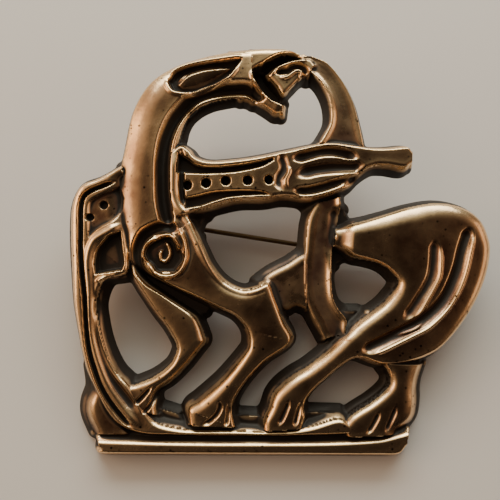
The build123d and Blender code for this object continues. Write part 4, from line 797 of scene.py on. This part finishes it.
def lug_surface(side):
    """One hinge lug: a flat plate with a bore, cut level with the table.

    Round the bore, at each angle, the outer side lies where the ray first meets the lug's width, the
    plate's back or the table. Four rings, bore and outer side on each face, close on themselves.
    """
    along, rivet, out = hinge_directions()
    angle = np.linspace(0, 2 * math.pi, LUG_POINTS, endpoint=False) + math.pi / LUG_POINTS
    ray = np.outer(np.cos(angle), along) + np.outer(np.sin(angle), out)
    bore = RIVET_WIRE / 2 + RIVET_GAP
    middle = side * (EYE_WIDTH + 2 * SIDE_GAP + LUG_THICKNESS) / 2
    rings = []
    for offset, at_bore in ((-1, True), (-1, False), (1, False), (1, True)):
        place = middle + offset * (LUG_THICKNESS / 2)
        centre = np.array(HINGE["pos_m"]) + MM * place * rivet
        if at_bore:
            rings.append(centre + MM * bore * ray)
            continue
        width = (LUG_WIDTH / 2) / np.maximum(np.abs(np.cos(angle)), LEAST)
        back = np.where(np.sin(angle) > 0, (PIN_BEHIND + BURIED) / np.maximum(np.sin(angle), LEAST), np.inf)
        table = np.where(ray[:, 2] < 0, centre[2] / MM / np.maximum(-ray[:, 2], LEAST), np.inf)
        rings.append(centre + MM * np.minimum(np.minimum(width, back), table)[:, None] * ray)
    return rings_mesh(np.array(rings), open_ended=False)


def catch_surface():
    """The forked catch: a profile with a round-ended slot, run along the pin and cut level with the table.

    The profile goes down one outer side, round the slot and up the other. Its low points lie on the table.
    Each end face is two fans of triangles, from the profile's first and last points, and one between them.
    """
    along, rivet, out = hinge_directions()
    reach = np.linalg.norm(to_plate([CATCH_AT])[0] - to_plate([HINGE_AT])[0])
    slot = PIN_WIRE / 2 + CATCH_GAP
    half = slot + CATCH_WALL
    top = PIN_BEHIND + BURIED
    turn = np.linspace(0, math.pi, SLOT_POINTS)
    side = np.concatenate([[-half, -half, -slot], -slot * np.cos(turn), [slot, half, half]])
    rise = np.concatenate([[top, BELOW_TABLE, BELOW_TABLE], slot * np.sin(turn),
                           [BELOW_TABLE, BELOW_TABLE, top]])
    rings = []
    for end in (-1, 1):
        centre = np.array(HINGE["pos_m"]) + MM * (reach + end * CATCH_LENGTH / 2) * along
        row = centre + MM * np.outer(side, rivet)
        level = -row[:, 2] / MM / out[2]
        rings.append(row + MM * np.maximum(rise, level)[:, None] * out)
    points, triangles = rings_mesh(np.array(rings), open_ended=True)
    size = len(side)
    middle = size // 2
    step = np.arange(1, size - 2)
    corner = np.where(step < middle, 0, size - 1)
    cap = np.vstack([np.stack([corner, step, step + 1], 1), [0, middle, size - 1]])
    return points, np.concatenate([triangles, cap, cap[:, ::-1] + size])


class Nodes:
    """Makes the nodes of one material or world."""

    def __init__(self, owner):
        owner.use_nodes = True
        self.tree = owner.node_tree
        self.tree.nodes.clear()

    def add(self, kind, inputs=None, output=0, **settings):
        """One node of a kind. Each input is a value or a socket to join. Returns the output asked for."""
        node = self.tree.nodes.new(kind)
        for key, value in settings.items():
            setattr(node, key, value)
        for key, value in (inputs or {}).items():
            if hasattr(value, "node"):
                self.tree.links.new(value, node.inputs[key])
            else:
                node.inputs[key].default_value = value
        return node.outputs[output] if len(node.outputs) else None

    def place(self, kind="Object"):
        return self.add("ShaderNodeTexCoord", output=kind)

    def math(self, operation, a, b, clamp=False):
        return self.add("ShaderNodeMath", {0: a, 1: b}, operation=operation, use_clamp=clamp)

    def total(self, *shares):
        """The sum of values, each times its share."""
        result = 0.0
        for value, share in shares:
            result = self.math("ADD", self.math("MULTIPLY", value, share), result)
        return result

    def noise(self, place, scale, detail=3.0, rough=0.5):
        inputs = {"Vector": place, "Scale": scale, "Detail": detail, "Roughness": rough}
        return self.add("ShaderNodeTexNoise", inputs)

    def mix(self, factor, a, b, **settings):
        return self.add("ShaderNodeMix", {0: factor, 6: a, 7: b}, 2, data_type="RGBA", **settings)

    def ramp(self, value, low=0.0, high=1.0, start=0.0, end=1.0):
        """A value from low to high turned into one from start to end, and held beyond them."""
        return self.add("ShaderNodeMapRange", {0: value, 1: low, 2: high, 3: start, 4: end}, clamp=True)

    def bump(self, strength, distance, height, **more):
        inputs = {"Strength": strength, "Distance": distance, "Height": height, **more}
        return self.add("ShaderNodeBump", inputs)

    def surface(self, colour, roughness, bump, metallic=0.0):
        inputs = {"Base Color": colour, "Metallic": metallic, "Roughness": roughness, "Normal": bump}
        self.add("ShaderNodeOutputMaterial", {"Surface": self.add("ShaderNodeBsdfPrincipled", inputs)})


def aged_and_shaded_bronze(name, finish, attributes):
    """Cast bronze: dark oxide in the recesses, painted shade on steep walls and low ground, brown flats,
    rubbed bright ridges and edges.

    Without attributes, as on the back, every field is zero and only the noise makes a difference.
    """
    material = bpy.data.materials.new(name)
    nodes = Nodes(material)
    place = nodes.place()
    ridge, recess, high, depth, steep = (
        nodes.add("ShaderNodeAttribute", output="Fac", attribute_name=key) if attributes else 0.0
        for key in ("ridge", "recess", "high", "depth", "steep"))
    cloudy, blotches, fine = (nodes.noise(place, scale, rough=0.55) for scale in (230.0, 800.0, 2600.0))
    bright = nodes.ramp(nodes.total((ridge, 0.8), (cloudy, 0.9), (high, 0.55)), 0.60, 1.25)
    low = nodes.math("SUBTRACT", 1.0, high)
    # Painted shade: steep walls and low-lying ground are darkened with the dark colour, on top of the real
    # patina in the recesses and random blotches
    patina_and_shade_share = nodes.ramp(nodes.total((recess, 1.2), (depth, 0.6), (steep, 0.32), (blotches, 0.25), (low, 0.5)),
                      0.55, 1.0)

    cells = nodes.add("ShaderNodeTexVoronoi", {"Vector": place, "Scale": 1000.0, "Randomness": 1.0})
    clusters = nodes.ramp(nodes.noise(place, 300.0, 2.0, 0.55), 0.48, 0.58)
    pit = nodes.math("MULTIPLY", nodes.ramp(cells, 0.20, 0.11), clusters)

    metal = nodes.mix(bright, (*finish.worn, 1), (*finish.rubbed, 1))
    # The dark colour goes over the metal for patina, pits and the painted shade
    colour = nodes.mix(nodes.math("MAXIMUM", patina_and_shade_share, pit), metal, (*finish.patina_and_shade, 1))
    gloss = nodes.total((patina_and_shade_share, 0.30), (fine, 0.06), (cloudy, 0.08))
    gloss = nodes.math("ADD", gloss, finish.roughness, clamp=True)
    metallic = nodes.math("SUBTRACT", 1.0, nodes.math("MULTIPLY", patina_and_shade_share, 0.7), clamp=True)
    grain = nodes.bump(0.15, 0.00003, fine)
    nodes.surface(colour, gloss, nodes.bump(0.25, 0.00010, blotches, Normal=grain), metallic)
    return material


def wire_bronze(name, colour, roughness):
    """Drawn wire: fine scratches along it and dull patches."""
    material = bpy.data.materials.new(name)
    nodes = Nodes(material)
    place = nodes.place()
    stretched = nodes.add("ShaderNodeMapping", {"Vector": place, "Scale": (300.0, 4000.0, 4000.0)})
    scratches = nodes.noise(stretched, 1.0)
    patches = nodes.noise(place, 500.0)
    tint = nodes.mix(patches, (*(DULL * c for c in colour), 1), (*colour, 1))
    gloss = nodes.ramp(scratches, start=roughness, end=roughness + 0.2)
    nodes.surface(tint, gloss, nodes.bump(0.25, 0.00003, scratches), 1.0)
    return material


def floor_paint(name, colour):
    """A pale matt floor with a faint unevenness."""
    material = bpy.data.materials.new(name)
    nodes = Nodes(material)
    grain = nodes.noise(nodes.place(), 900.0)
    nodes.surface((*colour, 1), 0.75, nodes.bump(0.08, 0.00005, grain))
    return material


def soft_room(name):
    """A room that is dark overhead and glows softly beyond the head and at the sides.

    In the direction d the light is a base plus, for each glow, its colour by (d . towards) to its power.
    """
    world = bpy.data.worlds.new(name)
    nodes = Nodes(world)
    direction = nodes.place("Generated")
    light = ROOM_BASE
    for towards, power, colour in GLOWS:
        facing = {0: direction, 1: towards}
        share = nodes.add("ShaderNodeVectorMath", facing, "Value", operation="DOT_PRODUCT")
        glow = nodes.math("POWER", nodes.math("MAXIMUM", share, 0.0), power)
        light = nodes.mix(glow, light, colour, blend_type="ADD")
    nodes.add("ShaderNodeOutputWorld", {"Surface": nodes.add("ShaderNodeBackground", {"Color": light})})
    return world


class BroochFinish(bpy.types.PropertyGroup):
    """Sizes and colours of the finish."""

    surface_step: bpy.props.FloatProperty(
        name="Surface step", description="Spacing of the points of the cast surface",
        default=0.000153, min=0.0001, max=0.001, precision=5, unit="LENGTH")
    rubbed: bpy.props.FloatVectorProperty(
        name="Rubbed bronze", description="Colour of the ridges", subtype="COLOR", size=3,
        default=(0.92, 0.63, 0.36), min=0, max=1)
    worn: bpy.props.FloatVectorProperty(
        name="Brown bronze", description="Colour of the flats", subtype="COLOR", size=3,
        default=(0.21, 0.112, 0.078), min=0, max=1)
    # Also the colour of the painted shade on steep walls and low-lying ground
    patina_and_shade: bpy.props.FloatVectorProperty(
        name="Patina", description="Colour in the recesses", subtype="COLOR", size=3,
        default=(0.020, 0.014, 0.011), min=0, max=1)
    roughness: bpy.props.FloatProperty(
        name="Roughness", description="Roughness of the rubbed metal", subtype="FACTOR",
        default=0.18, min=0, max=1)
    wire: bpy.props.FloatVectorProperty(
        name="Wire", description="Colour of the pin", subtype="COLOR", size=3,
        default=(0.24, 0.16, 0.09), min=0, max=1)
    rivet: bpy.props.FloatVectorProperty(
        name="Rivet", description="Colour of the rivet", subtype="COLOR", size=3,
        default=(0.40, 0.27, 0.14), min=0, max=1)


class BroochStage(bpy.types.PropertyGroup):
    """Floor, lights and camera."""

    floor: bpy.props.FloatVectorProperty(
        name="Floor", description="Colour of the floor", subtype="COLOR", size=3,
        default=(0.78, 0.74, 0.74), min=0, max=1)
    far_light: bpy.props.FloatProperty(
        name="Far light", description="Power of the long softbox beyond the head",
        default=1.3, min=0, unit="POWER")
    left_light: bpy.props.FloatProperty(
        name="Left light", description="Power of the softbox on the left",
        default=0.30, min=0, unit="POWER")
    right_light: bpy.props.FloatProperty(
        name="Right light", description="Power of the softbox on the right",
        default=0.11, min=0, unit="POWER")
    lens: bpy.props.FloatProperty(
        name="Lens", description="Focal length of the camera for a 36 mm sensor",
        default=32.4, min=10, unit="CAMERA")
    camera_place: bpy.props.FloatVectorProperty(
        name="Camera", description="Place of the camera", subtype="XYZ", size=3, unit="LENGTH",
        default=(-0.007042, -0.014539, 0.068510), precision=5)
    camera_turn: bpy.props.FloatVectorProperty(
        name="Camera turn", description="Rotation of the camera", subtype="EULER", size=3, unit="ROTATION",
        default=(math.radians(12.406), math.radians(-2.395), math.radians(0.692)))


class BROOCH_OT_casting(bpy.types.Operator):
    """Builds the cast face with its back, the two hinge lugs and the forked catch"""

    bl_idname = "brooch.casting"
    bl_label = "Casting"

    def execute(self, context):
        finish = context.scene.brooch_finish
        step = finish.surface_step / MM * 1.0
        points, triangles, fields, behind, corners = casting_surface(step)
        face = mesh_object("cast_face", points, triangles, fields, slots=behind, corners=corners)
        face.data.materials.append(aged_and_shaded_bronze("aged_bronze_face", finish, True))
        small = {"near_lug": lug_surface(-1), "far_lug": lug_surface(1), "forked_catch": catch_surface()}
        pieces = [face] + [mesh_object(name, *surface, sharp=SHARP) for name, surface in small.items()]
        plain = aged_and_shaded_bronze("aged_bronze_back", finish, False)
        for piece in pieces:
            piece.data.materials.append(plain)
            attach(piece, "plate")
            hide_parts("cast_openwork_plate")
        return {"FINISHED"}


class BROOCH_OT_pin(bpy.types.Operator):
    """Gives the pin and the rivet their wire finish"""

    bl_idname = "brooch.pin"
    bl_label = "Pin and rivet"

    def execute(self, context):
        finish = context.scene.brooch_finish
        for node, colour in (("pin_stem", finish.wire), ("hinge_rivet", finish.rivet)):
            material = wire_bronze(node + "_bronze", colour, 0.32)
            thing = frame["nodes"][node]
            if thing.material_slots:
                thing.material_slots[0].material = material
            else:
                thing.data.materials.append(material)
        return {"FINISHED"}


class BROOCH_OT_stage(bpy.types.Operator):
    """Sets up the floor, the soft lights and the camera"""

    bl_idname = "brooch.stage"
    bl_label = "Stage"

    def execute(self, context):
        stage = context.scene.brooch_stage
        corners = FLOOR_HALF * np.array([(-1, -1, 0), (1, -1, 0), (1, 1, 0), (-1, 1, 0)])
        floor = mesh_object("floor", corners, np.array([(0, 1, 2, 3)]))
        floor.data.materials.append(floor_paint("floor_paint", stage.floor))
        for side, (place, size, colour) in SOFTBOXES.items():
            light = bpy.data.lights.new(side + "_softbox", "AREA")
            light.shape = "RECTANGLE"
            light.size, light.size_y = size
            light.energy = getattr(stage, side + "_light")
            light.color = colour
            lamp = bpy.data.objects.new(light.name, light)
            lamp.location = place
            lamp.rotation_euler = (Vector(AIM) - Vector(place)).to_track_quat("-Z", "Y").to_euler()
            context.scene.collection.objects.link(lamp)
        context.scene.world = soft_room("soft_room")
        data = bpy.data.cameras.new("camera")
        data.sensor_width = 36.0
        data.lens = stage.lens
        data.clip_start = 0.001
        camera = bpy.data.objects.new("camera", data)
        camera.location = stage.camera_place
        camera.rotation_euler = Euler(stage.camera_turn)
        context.scene.collection.objects.link(camera)
        context.scene.camera = camera
        return {"FINISHED"}


class BROOCH_PT_panel(bpy.types.Panel):
    """Lists the brooch's pieces, its finish and its stage"""

    bl_idname = "BROOCH_PT_panel"
    bl_label = "Openwork brooch"
    bl_space_type = "VIEW_3D"
    bl_region_type = "UI"
    bl_category = "Brooch"

    def draw(self, context):
        for operator in OPERATORS:
            self.layout.operator(operator.bl_idname)
        for group in (context.scene.brooch_finish, context.scene.brooch_stage):
            box = self.layout.box()
            for name in group.__annotations__:
                box.prop(group, name)


OPERATORS = (BROOCH_OT_casting, BROOCH_OT_pin, BROOCH_OT_stage)
CLASSES = (BroochFinish, BroochStage, *OPERATORS, BROOCH_PT_panel)


def register():
    for cls in CLASSES:
        bpy.utils.register_class(cls)
    bpy.types.Scene.brooch_finish = bpy.props.PointerProperty(type=BroochFinish)
    bpy.types.Scene.brooch_stage = bpy.props.PointerProperty(type=BroochStage)


def unregister():
    del bpy.types.Scene.brooch_stage
    del bpy.types.Scene.brooch_finish
    for cls in reversed(CLASSES):
        bpy.utils.unregister_class(cls)


def main():
    """Registers the add-on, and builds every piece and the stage."""
    register()
    bpy.ops.brooch.casting()
    bpy.ops.brooch.pin()
    bpy.ops.brooch.stage()


if __name__ == "__main__":
    main()
